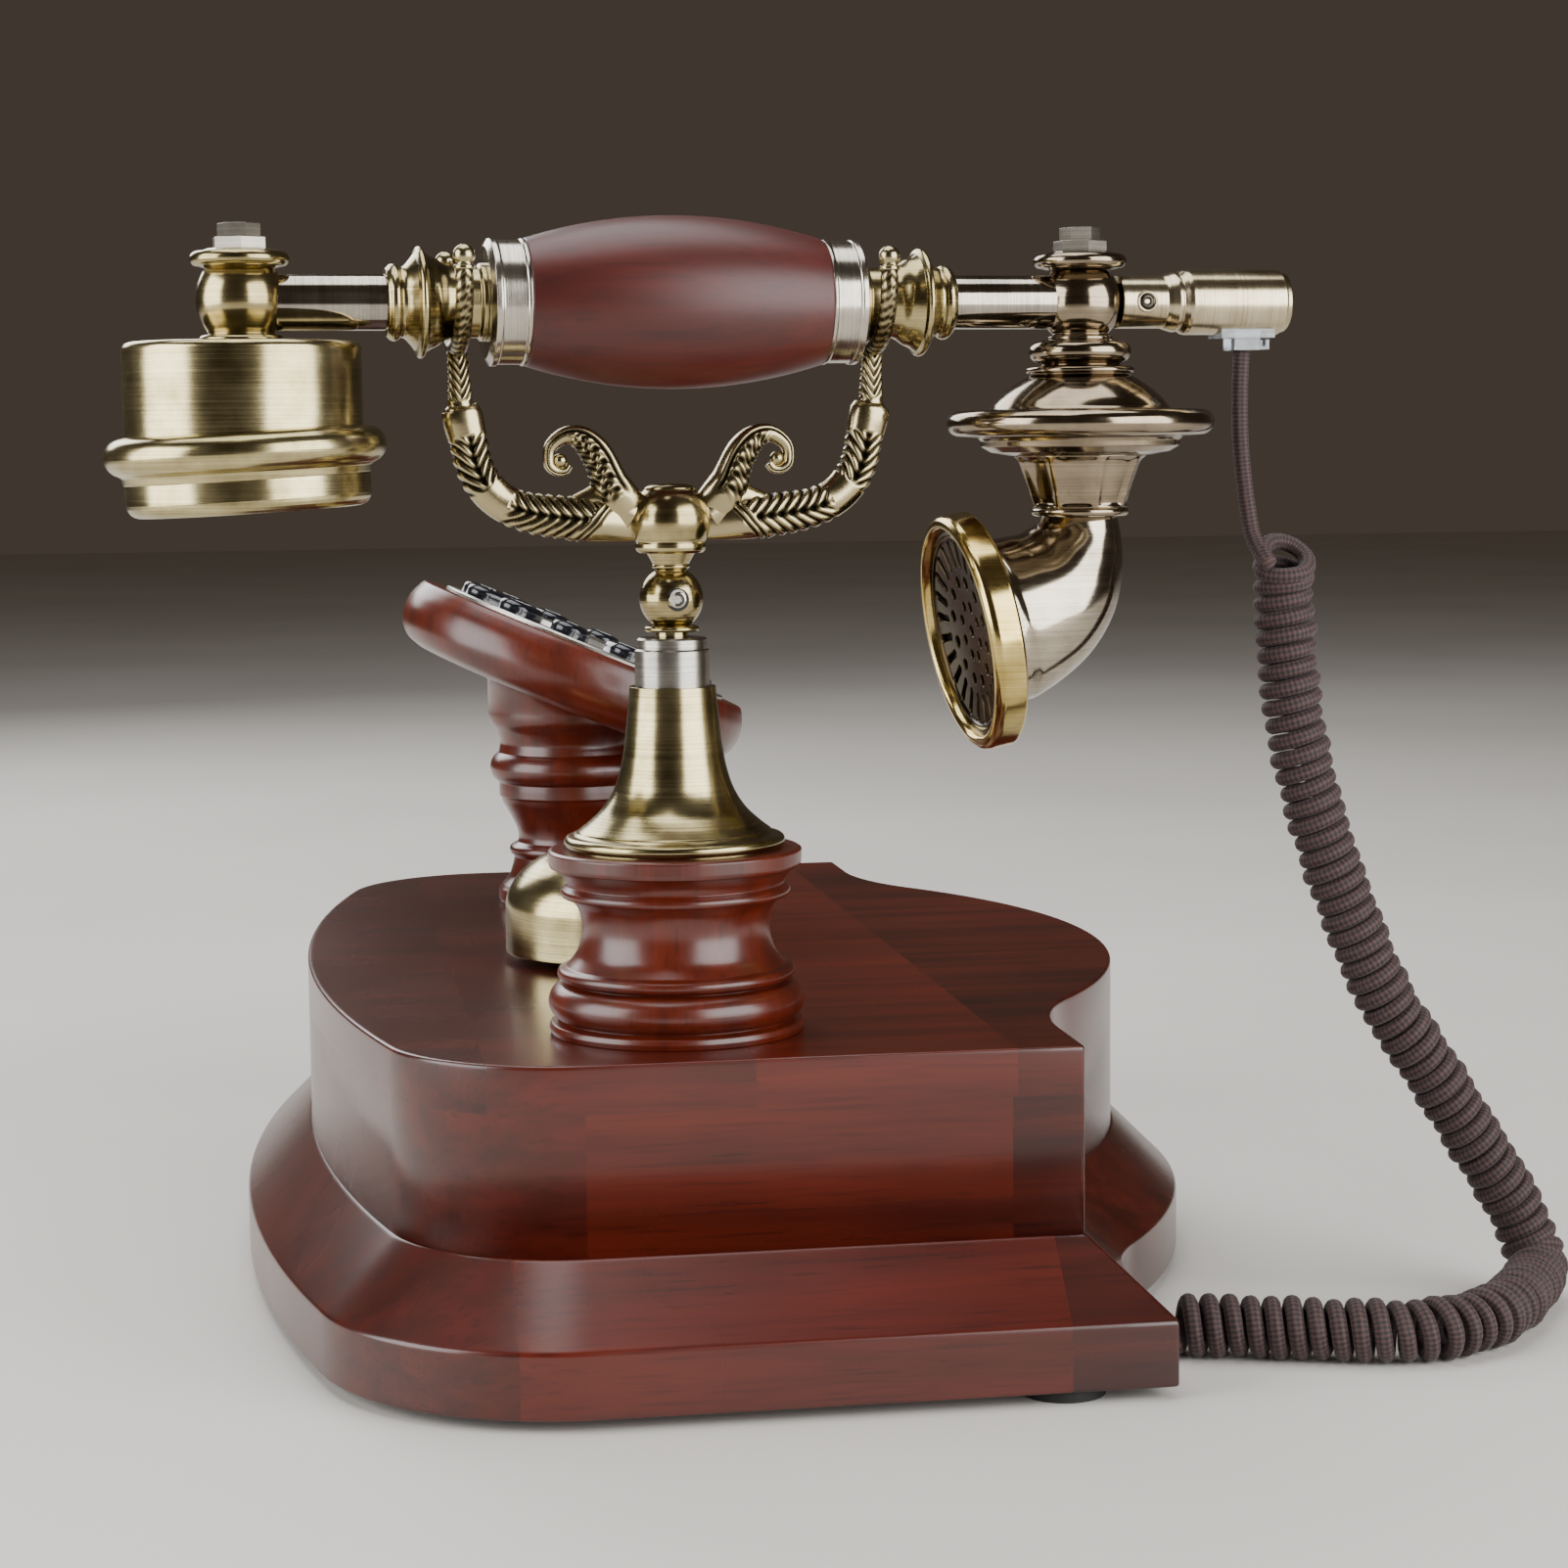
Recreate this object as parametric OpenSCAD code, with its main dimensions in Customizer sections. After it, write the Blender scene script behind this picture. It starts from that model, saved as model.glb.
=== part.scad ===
// Antique style desk telephone: a wooden base, a handset lying in a cradle on a brass column,
// a gong, and a tilted wooden dial disc with push keys on a turned pedestal.
// Millimetres. +Z is up, the user sits at -Y, and the origin is under the middle of the part.

/* [Base] */
// Width of the wooden case, side to side
case_w = 340; // [330:1:350]
// Distance from the column axis forward to the case's front corners
case_front = 91; // [88:1:94]
// Distance from the column axis forward to the tip of the front lobe
lobe_reach = 136; // [132:1:140]
// Distance from the column axis back to the rear of the case
case_back = 87; // [84:1:90]
// Length of the flat beside each front corner
front_flat = 25; // [23:1:27]
// Radius of the two front coves
cove_r = 75; // [70:1:80]
// Radius of the shallow curve across the back
back_r = 560; // [520:10:600]
// Radius of the rear corners
corner_r = 45; // [40:1:50]
// Height of the case wall above the plinth
case_h = 45; // [42:1:50]
// Thickness of the wooden walls
wall_t = 12; // [10:0.5:14]
// Thickness of the top panel
top_t = 12; // [10:0.5:14]
// Height of the plinth's upright band
band_h = 15.5; // [15:0.5:18]
// Height of the plinth's slope
slope_h = 17.5; // [15:0.5:20]
// How far the plinth stands out from the case
slope_w = 18; // [16:0.5:20]
// Height of the rubber feet
foot_h = 3; // [2:0.5:5]
// Radius of the rubber feet
foot_r = 10; // [8:0.5:11]
// Thickness of the bottom cover
cover_t = 4; // [3:0.5:5]
// Width of the ledge that the cover is screwed to
ledge_w = 8; // [7:0.5:9]

/* [Column] */
// Distance of the column's axis from the side of the case
column_inset = 43; // [40:1:48]
// Height of the turned wooden foot
wood_foot_h = 44.5; // [42:0.5:48]
// Radius of the turned wooden foot
wood_foot_r = 31; // [30:0.5:32]
// Height of the brass bell skirt
bell_h = 39; // [36:0.5:42]
// Radius of the bell skirt's rim
bell_rim_r = 26.5; // [25:0.5:28]
// Radius of the bell skirt's top
bell_top_r = 10.3; // [10:0.1:11]
// Height of the steel collar on top
collar_h = 11.7; // [10:0.1:13]
// Outer radius of the collar
collar_r = 9; // [8.6:0.1:9.6]
// Outer radius of the guide tube
guide_r = 6; // [5.6:0.1:6.4]
// Radius of the plunger rod
rod_r = 4; // [3.6:0.1:4.4]
// Radius of the small ball on the plunger
ball_r = 7.7; // [7:0.1:8.2]
// Travel of the hook
hook_travel = 6; // [4:0.5:7]

/* [Cradle] */
// How far the cradle and handset are turned on the column, in degrees
cradle_turn = 4.6; // [0:0.1:6]
// Radius of the cradle hub
hub_r = 9.8; // [9.4:0.1:10.4]
// Distance from the column axis to each fork
fork_off = 50.5; // [50:0.5:51.5]
// Radius of the fork's rod
fork_rod_r = 2.2; // [1.9:0.1:2.5]
// Distance from the fork's middle plane to the middle of each prong
fork_half = 15.5; // [15:0.1:16.5]
// Length of the straight part of each prong
prong_h = 4; // [3:0.5:8]
// Radius of the ball tips
tip_r = 2.7; // [2.4:0.1:3]

/* [Handset] */
// Distance from the middle of the grip to each earpiece or mouthpiece axis
span_half = 101.7; // [100:0.1:104]
// How far the handset sits towards the mouthpiece in the cradle
handset_slip = 1.5; // [0:0.5:2]
// Half the length of the wooden grip
grip_half = 36; // [34:0.5:37]
// Radius of the grip at its ends
grip_end_r = 14.9; // [14:0.1:15.5]
// Radius of the grip at its middle
grip_mid_r = 20.4; // [19:0.1:22]
// Length of each ferrule
ferrule_l = 9.3; // [8.5:0.1:10]
// Radius of each neck where it lies in a fork
neck_r = 8.3; // [8:0.1:8.6]
// Radius of the neck flanges
flange_r = 13; // [12:0.1:14]
// Radius of the bars
bar_r = 6.5; // [6.2:0.1:6.8]
// Radius of the joint balls
joint_r = 10.2; // [9.8:0.1:10.8]
// Radius of the finial discs
finial_r = 11.4; // [11:0.1:12]
// Radius of the earpiece drum
drum_r = 27.4; // [26:0.1:28]
// Height of the earpiece drum at its middle
drum_h = 20.4; // [19:0.2:23]
// Slant of the earpiece bezel, in degrees
ear_slant = 3; // [0:0.5:5]
// Radius of the bezel ring
bezel_r = 32.5; // [31.5:0.1:33.5]
// Radius of the mouthpiece flange
saucer_r = 32.8; // [31:0.1:34]
// Radius of the flange's round edge
saucer_edge = 3.1; // [2.6:0.1:3.2]
// Outer radius of the mouthpiece ring
mouth_r = 29.2; // [28.8:0.1:30]
// Depth of the mouthpiece ring
mouth_d = 8; // [7.5:0.1:9]
// Downward slant of the mouthpiece ring, in degrees
mouth_slant = 10; // [8:0.5:12]
// Radius of the cord end cap
end_r = 8; // [7.8:0.1:8.4]
// Length of the cord end cap's wide part
end_l = 28; // [27:0.5:30]

/* [Dial] */
// Distance of the pedestal's axis from the other side of the case
pedestal_inset = 68; // [64:1:72]
// How far the pedestal stands back from the column's line
pedestal_back = 2.5; // [0:0.5:5]
// Slant of the dial disc towards the user, in degrees
dial_tilt = 23; // [18:1:26]
// Height of the middle of the dial disc's top face above the case
dial_rise = 79.7; // [76:0.1:84]
// How far the middle of the top face lies in front of the pedestal
dial_lead = 4; // [3:0.5:5]
// Thickness of the wooden dial disc
dial_t = 19.5; // [18:0.5:21]
// Radius of the dial disc's top face
dial_r = 52.5; // [51:0.5:54]
// Radius of the metal plate
plate_r = 46; // [45.5:0.1:47]
// Number of keys
key_count = 12; // [10:1:12]
// Radius of the circle of keys
key_ring_r = 34; // [33.5:0.1:34.5]
// Length of a key along the dial's radius
key_l = 15.5; // [14:0.1:16]
// Width of a key
key_w = 11.5; // [10:0.1:12]
// How far the keys stand above the plate
key_rise = 4; // [3:0.5:5]
// Travel of a key
key_travel = 1.2; // [1:0.1:1.5]

/* [Gong] */
// Distance of the gong from the middle of the base
gong_off = 14; // [10:1:18]
// Outer radius of the gong
gong_r = 33; // [31:0.5:35]
// Gap between the gong and the case
gong_gap = 2.5; // [2:0.5:4]
// Height of the gong's upright wall
gong_wall_h = 12; // [10:0.5:14]
// Height of the gong's dome above that wall
gong_dome_h = 19; // [17:0.5:21]
// Thickness of the gong's metal
gong_t = 1.6; // [1.2:0.1:2]

/* [Cord] */
// Diameter of the cord
cord_d = 4.2; // [4:0.1:4.5]
// Outer diameter of the coiled stretch
coil_d = 15.5; // [15:0.1:15.5]

/* [Fits] */
// Gap between pieces of different moving bodies
gap = 0.3; // [0.25:0.05:0.35]
// Radial clearance of a plug, tube or pin in its hole
fit = 0.1; // [0.05:0.05:0.15]

/* [Hidden] */
$fn = 64;

// Heights above the table
plinth_top = foot_h + band_h + slope_h;
case_top = plinth_top + case_h;
case_half = case_w / 2;
column_off = case_half - column_inset;
pedestal_off = case_half - pedestal_inset;

// Heights above the case
bell_top = wood_foot_h + bell_h;
collar_top = bell_top + collar_h;
plunger_seat = collar_top + 1.2;
small_ball_z = plunger_seat + 1.6 + ball_r * 0.9;
hub_z = small_ball_z + 18.2;
saddle_z = hub_z + 43;
axis_z = saddle_z + gap + neck_r;
handset_z = case_top + axis_z;

// Handset stations, measured from the middle of the grip
neck_start = grip_half + ferrule_l;
flange_at = neck_start + 15.2;
ring_start = flange_at + 4;
ring_end = ring_start + 4.2;
end_start = span_half + 25.3;
end_tip = end_start + end_l;

// Turned positions: the plan of the part is centred between the mouth end and the ear end
mouth_reach = (end_tip + handset_slip) * cos(cradle_turn);
ear_reach = (span_half - handset_slip) * cos(cradle_turn) + bezel_r;
mid_y = (mouth_reach - ear_reach) / 2;

// Colours
wood = [0.36, 0.12, 0.08];
brass = [0.72, 0.62, 0.40];
steel = [0.62, 0.60, 0.57];
dark = [0.06, 0.07, 0.10];
cord_brown = [0.28, 0.19, 0.17];
clear = [0.85, 0.87, 0.88];

// ---- outlines and sweeps -------------------------------------------------------------------

// Points of an arc about c, from angle a to angle b
function arc(c, r, a, b, n) =
    [for (i = [0:n]) let (t = a + (b - a) * i / n) c + r * [cos(t), sin(t)]];

// Plan of the case, grown outwards by d. The front is two flats, two coves and a lobe that are
// tangent to each other, and the back is a shallow arc between two round corners.
cove_x = case_half - front_flat;
lobe_sag = lobe_reach - case_front;
lobe_r = (cove_x * cove_x + lobe_sag * lobe_sag) / (2 * lobe_sag) - cove_r;
cove_y = -case_front - cove_r;
lobe_y = lobe_r - lobe_reach;
cove_a = atan2(lobe_y - cove_y, cove_x);
corner_x = case_half - corner_r;
back_y = case_back - back_r;
corner_y = back_y + sqrt(pow(back_r - corner_r, 2) - corner_x * corner_x);
corner_a = atan2(corner_y - back_y, corner_x);
function after_first(p) = [for (i = [1:len(p) - 1]) p[i]];
function outline(d) = concat(
    [[case_half + d, -case_front - d]],
    arc([corner_x, corner_y], corner_r + d, 0, corner_a, 8),
    after_first(arc([0, back_y], back_r + d, corner_a, 180 - corner_a, 14)),
    after_first(arc([-corner_x, corner_y], corner_r + d, 180 - corner_a, 180, 8)),
    [[-case_half - d, -case_front - d]],
    arc([-cove_x, cove_y], cove_r - d, 90, cove_a, 8),
    after_first(arc([0, lobe_y], lobe_r + d, 180 + cove_a, 360 - cove_a, 22)),
    after_first(arc([cove_x, cove_y], cove_r - d, 180 - cove_a, 90, 8)));

// A closed shell over rings of points that all have the same count, each counter-clockwise
// when seen from the last ring's side. An end with hollow stretches is closed to its middle.
module skin(rings, to_middle = false) {
    n = len(rings[0]);
    m = len(rings);
    middles = [for (r = [rings[0], rings[m - 1]]) [for (p = r) 1] * r / n];
    low = to_middle ? [for (i = [0:n - 1]) [i, (i + 1) % n, n * m]] : [[for (i = [0:n - 1]) i]];
    high = to_middle ? [for (i = [0:n - 1]) [(m - 1) * n + (i + 1) % n, (m - 1) * n + i, n * m + 1]]
        : [[for (i = [n - 1:-1:0]) (m - 1) * n + i]];
    polyhedron(
        points = concat([for (r = rings) for (p = r) p], to_middle ? middles : []),
        faces = concat(
            low,
            [for (k = [0:m - 2]) for (i = [0:n - 1]) [k * n + i, (k + 1) * n + i, k * n + (i + 1) % n]],
            [for (k = [0:m - 2]) for (i = [0:n - 1])
                [k * n + (i + 1) % n, (k + 1) * n + i, (k + 1) * n + (i + 1) % n]],
            high),
        convexity = 6);
}

// A smooth curve through points p, with n steps between neighbours
function spline(p, n) = concat(
    [for (i = [0:len(p) - 2], k = [0:n - 1]) let (
            t = k / n,
            a = p[max(i - 1, 0)], b = p[i], c = p[i + 1], d = p[min(i + 2, len(p) - 1)])
        b + 0.5 * t * (c - a + t * (2 * a - 5 * b + 4 * c - d + t * (3 * (b - c) + d - a)))],
    [p[len(p) - 1]]);
function unit(v) = v / norm(v);
function way(p, i) = unit(p[min(i + 1, len(p) - 1)] - p[max(i - 1, 0)]);

// Rings of s points square to a path p; radius r[i] sideways and r[i] * flat along the normal u
function tube_rings(p, r, s, u, flat = 1) = [for (i = [0:len(p) - 1]) let (
        w = way(p, i), a = unit(cross(u, w)), b = cross(w, a))
    [for (k = [0:s - 1]) let (t = 360 * (k + 0.5) / s) p[i] + r[i] * (cos(t) * a + flat * sin(t) * b)]];

// Sweep in the cradle's plane; each point is [along, height, radius]
module limb(pts, flat, steps = 3, sides = 12) {
    q = spline(pts, steps);
    skin(tube_rings([for (v = q) [0, v[0], v[1]]], [for (v = q) v[2]], sides, [1, 0, 0], flat));
}

// A plain cord tube through points p, whose first and last steps are straight
module cord_tube(p, d, steps) {
    n = len(p);
    q = concat([p[0]], spline([for (i = [1:n - 2]) p[i]], steps), [p[n - 1]]);
    skin(tube_rings(q, [for (v = q) d / 2], d < 8 ? 8 : 12, [1, 0.02, 0.01]));
}

// ---- placing -------------------------------------------------------------------------------

module on_case(x, y = 0) { translate([x, mid_y + y, case_top]) children(); }
module on_column() { on_case(-column_off) rotate([0, 0, cradle_turn]) children(); }
module in_handset() { on_column() translate([0, -handset_slip, axis_z]) children(); }
// Turned about the handset's long axis, with +Z towards the mouthpiece
module along_handset() { in_handset() rotate([90, 0, 0]) children(); }
module at_ear() { in_handset() translate([0, span_half, 0]) children(); }
module at_mouth() { in_handset() translate([0, -span_half, 0]) children(); }
module mirrored() { children(); mirror([0, 0, 1]) children(); }
// The dial's own frame: +Z square to the disc, origin on its top face
module on_dial() {
    on_case(pedestal_off, pedestal_back - dial_lead) translate([0, 0, dial_rise])
        rotate([dial_tilt, 0, 0]) children();
}

// ---- base ----------------------------------------------------------------------------------

gong_post_r = 3;
dowel_r = 8;
jack_w = 13;
jack_h = 9;
jack_l = 14;
jack_x = 152;
line_jack_x = 60;
jack_z = foot_h + 6;
front_face = -case_front - slope_w;
back_face = back_y + sqrt(pow(back_r + slope_w, 2) - line_jack_x * line_jack_x);

module jack_pocket() {
    for (s = [0, 1])
        translate(s == 0 ? [-jack_x, mid_y + front_face + jack_l / 2 + 0.4, jack_z]
                         : [line_jack_x, mid_y + back_face - jack_l / 2 - 1.4, jack_z])
            rotate([0, 0, 180 * s]) children();
}

module base_case() {
    color(wood) difference() {
        translate([0, mid_y, plinth_top]) linear_extrude(case_h) polygon(outline(0));
        translate([0, mid_y, plinth_top - 1])
            linear_extrude(case_h - top_t + 1) polygon(outline(-wall_t));
        on_case(-column_off) translate([0, 0, -top_t - 1]) cylinder(r = guide_r + fit, h = top_t + 2);
        on_case(pedestal_off, pedestal_back) translate([0, 0, -top_t - 1])
            cylinder(r = dowel_r + fit, h = top_t + 2);
        on_case(-gong_off) translate([0, 0, -top_t - 1]) cylinder(r = gong_post_r + fit, h = top_t + 2);
    }
}

module base_plinth() {
    color(wood) difference() {
        translate([0, mid_y, 0]) skin([
            [for (p = outline(slope_w)) [p[0], p[1], foot_h]],
            [for (p = outline(slope_w)) [p[0], p[1], foot_h + band_h]],
            [for (p = outline(0)) [p[0], p[1], plinth_top]]], to_middle = true);
        translate([0, mid_y, foot_h - 1]) linear_extrude(plinth_top) polygon(outline(-wall_t));
        translate([0, mid_y, foot_h - 1])
            linear_extrude(cover_t + 1) polygon(outline(ledge_w - wall_t));
        jack_pocket() cube([jack_w + 2 * fit, jack_l + 8, jack_h + 2 * fit], center = true);
        translate([0, mid_y, foot_h]) for (p = cover_screw_pts) translate([p[0], p[1], 0])
            cylinder(r = screw_r + fit, h = screw_l + 1);
    }
}

screw_x = case_half - wall_t + ledge_w / 2;
screw_back_x = cove_x - 40;
screw_back_y = back_y + sqrt(pow(back_r - wall_t + ledge_w / 2, 2) - screw_back_x * screw_back_x);
cover_screw_pts = [for (s = [-1, 1])
    for (p = [[screw_x, 40 - case_front], [screw_x, 10], [screw_back_x, screw_back_y]]) [s * p[0], p[1]]];
screw_l = cover_t + 6;
screw_r = 1.6;
screw_head_r = 2.6;

board_w = 130;
board_l = 84;
board_t = 1.6;
boss_h = 8;
boss_r = 4;
boss_pts = [for (x = [-1, 1]) for (y = [-1, 1]) [x * (board_w / 2 - 6), y * (board_l / 2 - 6)]];
board_z = foot_h + cover_t + boss_h;

module bottom_cover() {
    color([0.13, 0.12, 0.11]) difference() {
        translate([0, mid_y, foot_h]) union() {
            linear_extrude(cover_t) polygon(outline(ledge_w - wall_t - gap));
            for (p = boss_pts) translate([p[0], p[1], cover_t / 2])
                cylinder(r = boss_r, h = boss_h + cover_t / 2);
        }
        translate([0, mid_y, foot_h]) for (p = cover_screw_pts) translate([p[0], p[1], -1])
            cylinder(r = screw_r + fit, h = cover_t + 2);
    }
}

module cover_screws() {
    color(steel) for (p = cover_screw_pts) translate([p[0], mid_y + p[1], foot_h]) union() {
        translate([0, 0, -1.2]) cylinder(r = screw_head_r, h = 1.2);
        translate([0, 0, -0.6]) cylinder(r = screw_r, h = screw_l + 0.6);
    }
}

foot_pts = [for (s = [-1, 1]) for (p = [[case_half + slope_w - foot_r - 2, -case_front + 7],
    [case_half - foot_r, case_back - 35]]) [s * p[0], p[1]]];
module rubber_feet() {
    color([0.1, 0.1, 0.1]) for (p = foot_pts) translate([p[0], mid_y + p[1], 0])
        cylinder(r = foot_r, h = foot_h);
}

module main_board() {
    color([0.1, 0.35, 0.2]) translate([0, mid_y, board_z]) union() {
        translate([-board_w / 2, -board_l / 2, 0]) cube([board_w, board_l, board_t]);
        translate([-board_w / 2 + 20, -14, board_t / 2]) cube([16, 28, 4]);
        translate([18, -20, board_t / 2]) cylinder(r = 7, h = 14);
        translate([36, 14, board_t / 2]) cylinder(r = 5, h = 11);
        translate([-10, 18, board_t / 2]) cube([24, 14, 9]);
    }
}

// The plunger ends above the switch's button; the spring stands on the bracket's floor
guide_below = top_t + 8;
rod_end = -(guide_below + 4);
spring_h = 14;
switch_floor = rod_end - spring_h;
spring_r = rod_r + 0.4;
module hook_switch() {
    leg = switch_floor - 3;
    color([0.15, 0.15, 0.16]) on_case(-column_off) union() {
        for (s = [-1, 1]) translate([s * 14 - 1.5, -6, leg]) cube([3, 12, -top_t - leg]);
        translate([-15.5, -6, leg]) cube([31, 12, 3]);
        translate([7.5, -5, switch_floor - 0.5]) cube([6, 10, spring_h - 2]);
    }
}

module hook_spring() {
    turns = 5;
    wire_r = 0.6;
    n = 12;
    lift = spring_h - 2 * wire_r - 0.2;
    q = [for (i = [0:turns * n]) let (t = i * 360 / n)
        [(spring_r - wire_r) * cos(t), (spring_r - wire_r) * sin(t),
            switch_floor + wire_r + 0.1 + lift * i / (turns * n)]];
    color(steel) on_case(-column_off) skin(tube_rings(q, [for (v = q) wire_r], 6, [0, 0, 1]));
}

socket_w = 7.7;
socket_h = 6.6;
module base_jacks() {
    color(clear) jack_pocket() difference() {
        cube([jack_w, jack_l, jack_h], center = true);
        translate([-socket_w / 2 - fit, -jack_l / 2 - 1, -socket_h / 2 - fit])
            cube([socket_w + 2 * fit, jack_l - 2, socket_h + 2 * fit]);
    }
}

// ---- column --------------------------------------------------------------------------------

function foot_profile(r) = concat(
    [[guide_r + fit, 0], [r, 0], [r, 2.6], [r - 0.8, 3.1]],
    arc([r - 4.2, 7.4], 4.3, -70, 70, 8),
    [[r - 4.4, 12.2], [r - 2.6, 12.8], [r - 2.3, 14.4], [r - 3, 16]],
    [for (i = [1:7]) let (t = i / 8) [r - 3.8 - 4.6 * sin(180 * t), 16 + 16.4 * t]],
    [[r - 3.8, 32.6], [r - 3.5, 34], [r - 4, 35.6], [r - 4.6, 36.2], [r - 3.4, 38],
     [r - 2, 39.4], [r - 1, 40.4]],
    [[r - 0.4, wood_foot_h - 3.6], [r - 0.4, wood_foot_h - 0.6], [r - 1, wood_foot_h],
     [guide_r + fit, wood_foot_h]]);
module column_foot() {
    color(wood) on_case(-column_off) rotate_extrude() polygon(foot_profile(wood_foot_r));
}

// The skirt's flare follows a power curve from the rim to the top
function bell_r(t) = bell_top_r + (bell_rim_r - 1.5 - bell_top_r) * (0.2 * (1 - t) + 0.8 * pow(1 - t, 5));
module column_bell() {
    wall = 1.6;
    outer = [for (i = [0:16]) let (t = i / 16) [bell_r(t), wood_foot_h + 3 + (bell_h - 3) * t]];
    inner = [for (i = [16:-1:0]) let (t = i / 16)
        [bell_r(t) - wall, wood_foot_h + 1.6 + (bell_h - 3.2) * t]];
    color(brass) on_case(-column_off) rotate_extrude() polygon(concat(
        [[bell_rim_r - 2, wood_foot_h], [bell_rim_r, wood_foot_h + 0.6], [bell_rim_r, wood_foot_h + 2.2]],
        outer,
        [[guide_r + fit, bell_top], [guide_r + fit, bell_top - 1.6]],
        inner,
        [[bell_rim_r - 3.5, wood_foot_h]]));
}

module column_guide() {
    color(steel) on_case(-column_off) rotate_extrude() polygon([
        [rod_r + fit, -guide_below], [guide_r, -guide_below], [guide_r, bell_top],
        [collar_r, bell_top], [collar_r, bell_top + 8.6], [collar_r - 0.5, bell_top + 9],
        [collar_r - 0.5, collar_top - 0.5], [collar_r - 1, collar_top], [rod_r + fit, collar_top]]);
}

// ---- gong ----------------------------------------------------------------------------------

gong_mid = gong_gap + gong_wall_h;
gong_top = gong_mid + gong_dome_h;
gong_hole_r = gong_post_r - 0.8 + fit;
// Half an ellipse of half width r and height h above z, from angle a to angle b
function dome(r, h, z, a, b, n) = [for (p = arc([0, 0], 1, a, b, n)) [r * p[0], z + h * p[1]]];
module ringer_gong() {
    color(brass) on_case(-gong_off) rotate_extrude() polygon(concat(
        [[gong_r - gong_t, gong_gap], [gong_r, gong_gap]],
        dome(gong_r, gong_dome_h, gong_mid, 0, 84, 18),
        [[gong_hole_r, gong_top], [gong_hole_r, gong_top - gong_t]],
        dome(gong_r - gong_t, gong_dome_h - gong_t, gong_mid, 84, 0, 16)));
}
module gong_post() {
    shoulder = gong_top - gong_t;
    color(steel) on_case(-gong_off) rotate_extrude() polygon([
        [0, -top_t - 2], [gong_post_r, -top_t - 2], [gong_post_r, shoulder - 0.4],
        [gong_post_r - 0.8, shoulder - 0.4], [gong_post_r - 0.8, gong_top + 0.1],
        [4, gong_top + 0.1], [4, gong_top + 1.6], [2.4, gong_top + 3.6], [0, gong_top + 4.2]]);
}

// ---- dial ----------------------------------------------------------------------------------

pedestal_r = 23.6;
module dial_pedestal() {
    r = pedestal_r;
    color(wood) difference() {
        on_case(pedestal_off, pedestal_back) union() {
            translate([0, 0, -top_t]) cylinder(r = dowel_r, h = top_t + 2);
            rotate_extrude() polygon(concat(
                [[0, 0], [r, 0], [r, 4.4], [r - 0.8, 5.4]],
                [for (i = [1:5]) let (t = i / 6) [r - 0.8 - 4.4 * sin(90 * t), 5.4 + 9 * t]],
                arc([r - 5.4, 16.4], 1.9, -60, 60, 5),
                [[r - 6.2, 19], [r - 6.2, 20.6]],
                [for (i = [1:5]) let (t = i / 6) [r - 6.2 + 4.9 * (1 - cos(90 * t)), 20.6 + 11.6 * t]],
                [[r - 1, 33.2], [r - 0.8, 35.6]],
                arc([r - 3.6, 42], 5.3, -62, 62, 8),
                [[r - 1.1, 48.6], [r - 1.1, 50.6], [r + 1.2, 54], [r + 2.4, 58], [r + 2.4, 100], [0, 100]]));
        }
        // everything above the disc's seat
        on_dial() translate([0, 0, -dial_t]) cylinder(r = 90, h = 120);
    }
}

plate_t = 2;
plate_sink = 1;
well_r = plate_r - 2;
well_d = 11;
mat_t = 3.4;
flange_t = 1.2;
module dial_disc() {
    color(wood) on_dial() rotate_extrude() polygon(concat(
        [[0, -dial_t], [dial_r - 5, -dial_t]],
        [for (a = [-80:20:60]) [dial_r - 3.5 + 7 * cos(a), -dial_t + 8 + 8 * sin(a)]],
        [[dial_r + 0.6, -1.6], [dial_r, 0], [plate_r + fit, 0], [plate_r + fit, -plate_sink],
         [well_r, -plate_sink], [well_r, -well_d], [0, -well_d]]));
}

// A key's outline: a bar with two round ends along the dial's radius
module key_bar(l, w, h) {
    union() {
        for (s = [-1, 1]) translate([s * (l - w) / 2, 0, 0]) cylinder(r = w / 2, h = h, $fn = 48);
        translate([-(l - w) / 2, -w / 2, 0]) cube([l - w, w, h]);
    }
}
module at_key(i) {
    on_dial() rotate([0, 0, 90 - (i + 0.5) * 360 / key_count]) translate([key_ring_r, 0, 0]) children();
}
module dial_plate() {
    hub_plate_r = key_ring_r - key_l / 2 - 4;
    color([0.75, 0.73, 0.68]) difference() {
        on_dial() rotate_extrude() polygon([
            [0, -plate_sink], [plate_r, -plate_sink], [plate_r, plate_t - plate_sink - 0.5],
            [plate_r - 0.5, plate_t - plate_sink], [hub_plate_r, plate_t - plate_sink],
            [hub_plate_r - 1, plate_t - plate_sink + 1.4], [0, plate_t - plate_sink + 2.2]]);
        for (i = [0:key_count - 1]) at_key(i) translate([0, 0, -plate_sink - 1])
            key_bar(key_l + 2 * gap, key_w + 2 * gap, plate_t + 3);
    }
}
module keypad_mat() {
    color([0.3, 0.3, 0.32]) on_dial() translate([0, 0, -well_d]) cylinder(r = well_r - gap, h = mat_t);
}
module key(i) {
    top = plate_t - plate_sink + key_rise;
    under = -plate_sink - gap;
    bottom = -well_d + mat_t + key_travel + gap;
    color(dark) at_key(i) union() {
        translate([0, 0, bottom]) key_bar(key_l - 1, key_w - 1, under - bottom);
        translate([0, 0, under - flange_t]) key_bar(key_l + 1.6, key_w + 1.6, flange_t);
        translate([0, 0, under - 0.5]) key_bar(key_l, key_w, top - under - 0.7);
        translate([0, 0, top - 1.4]) key_bar(key_l - 1.4, key_w - 1.4, 1.4);
    }
}

// ---- hook and cradle -----------------------------------------------------------------------

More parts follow.
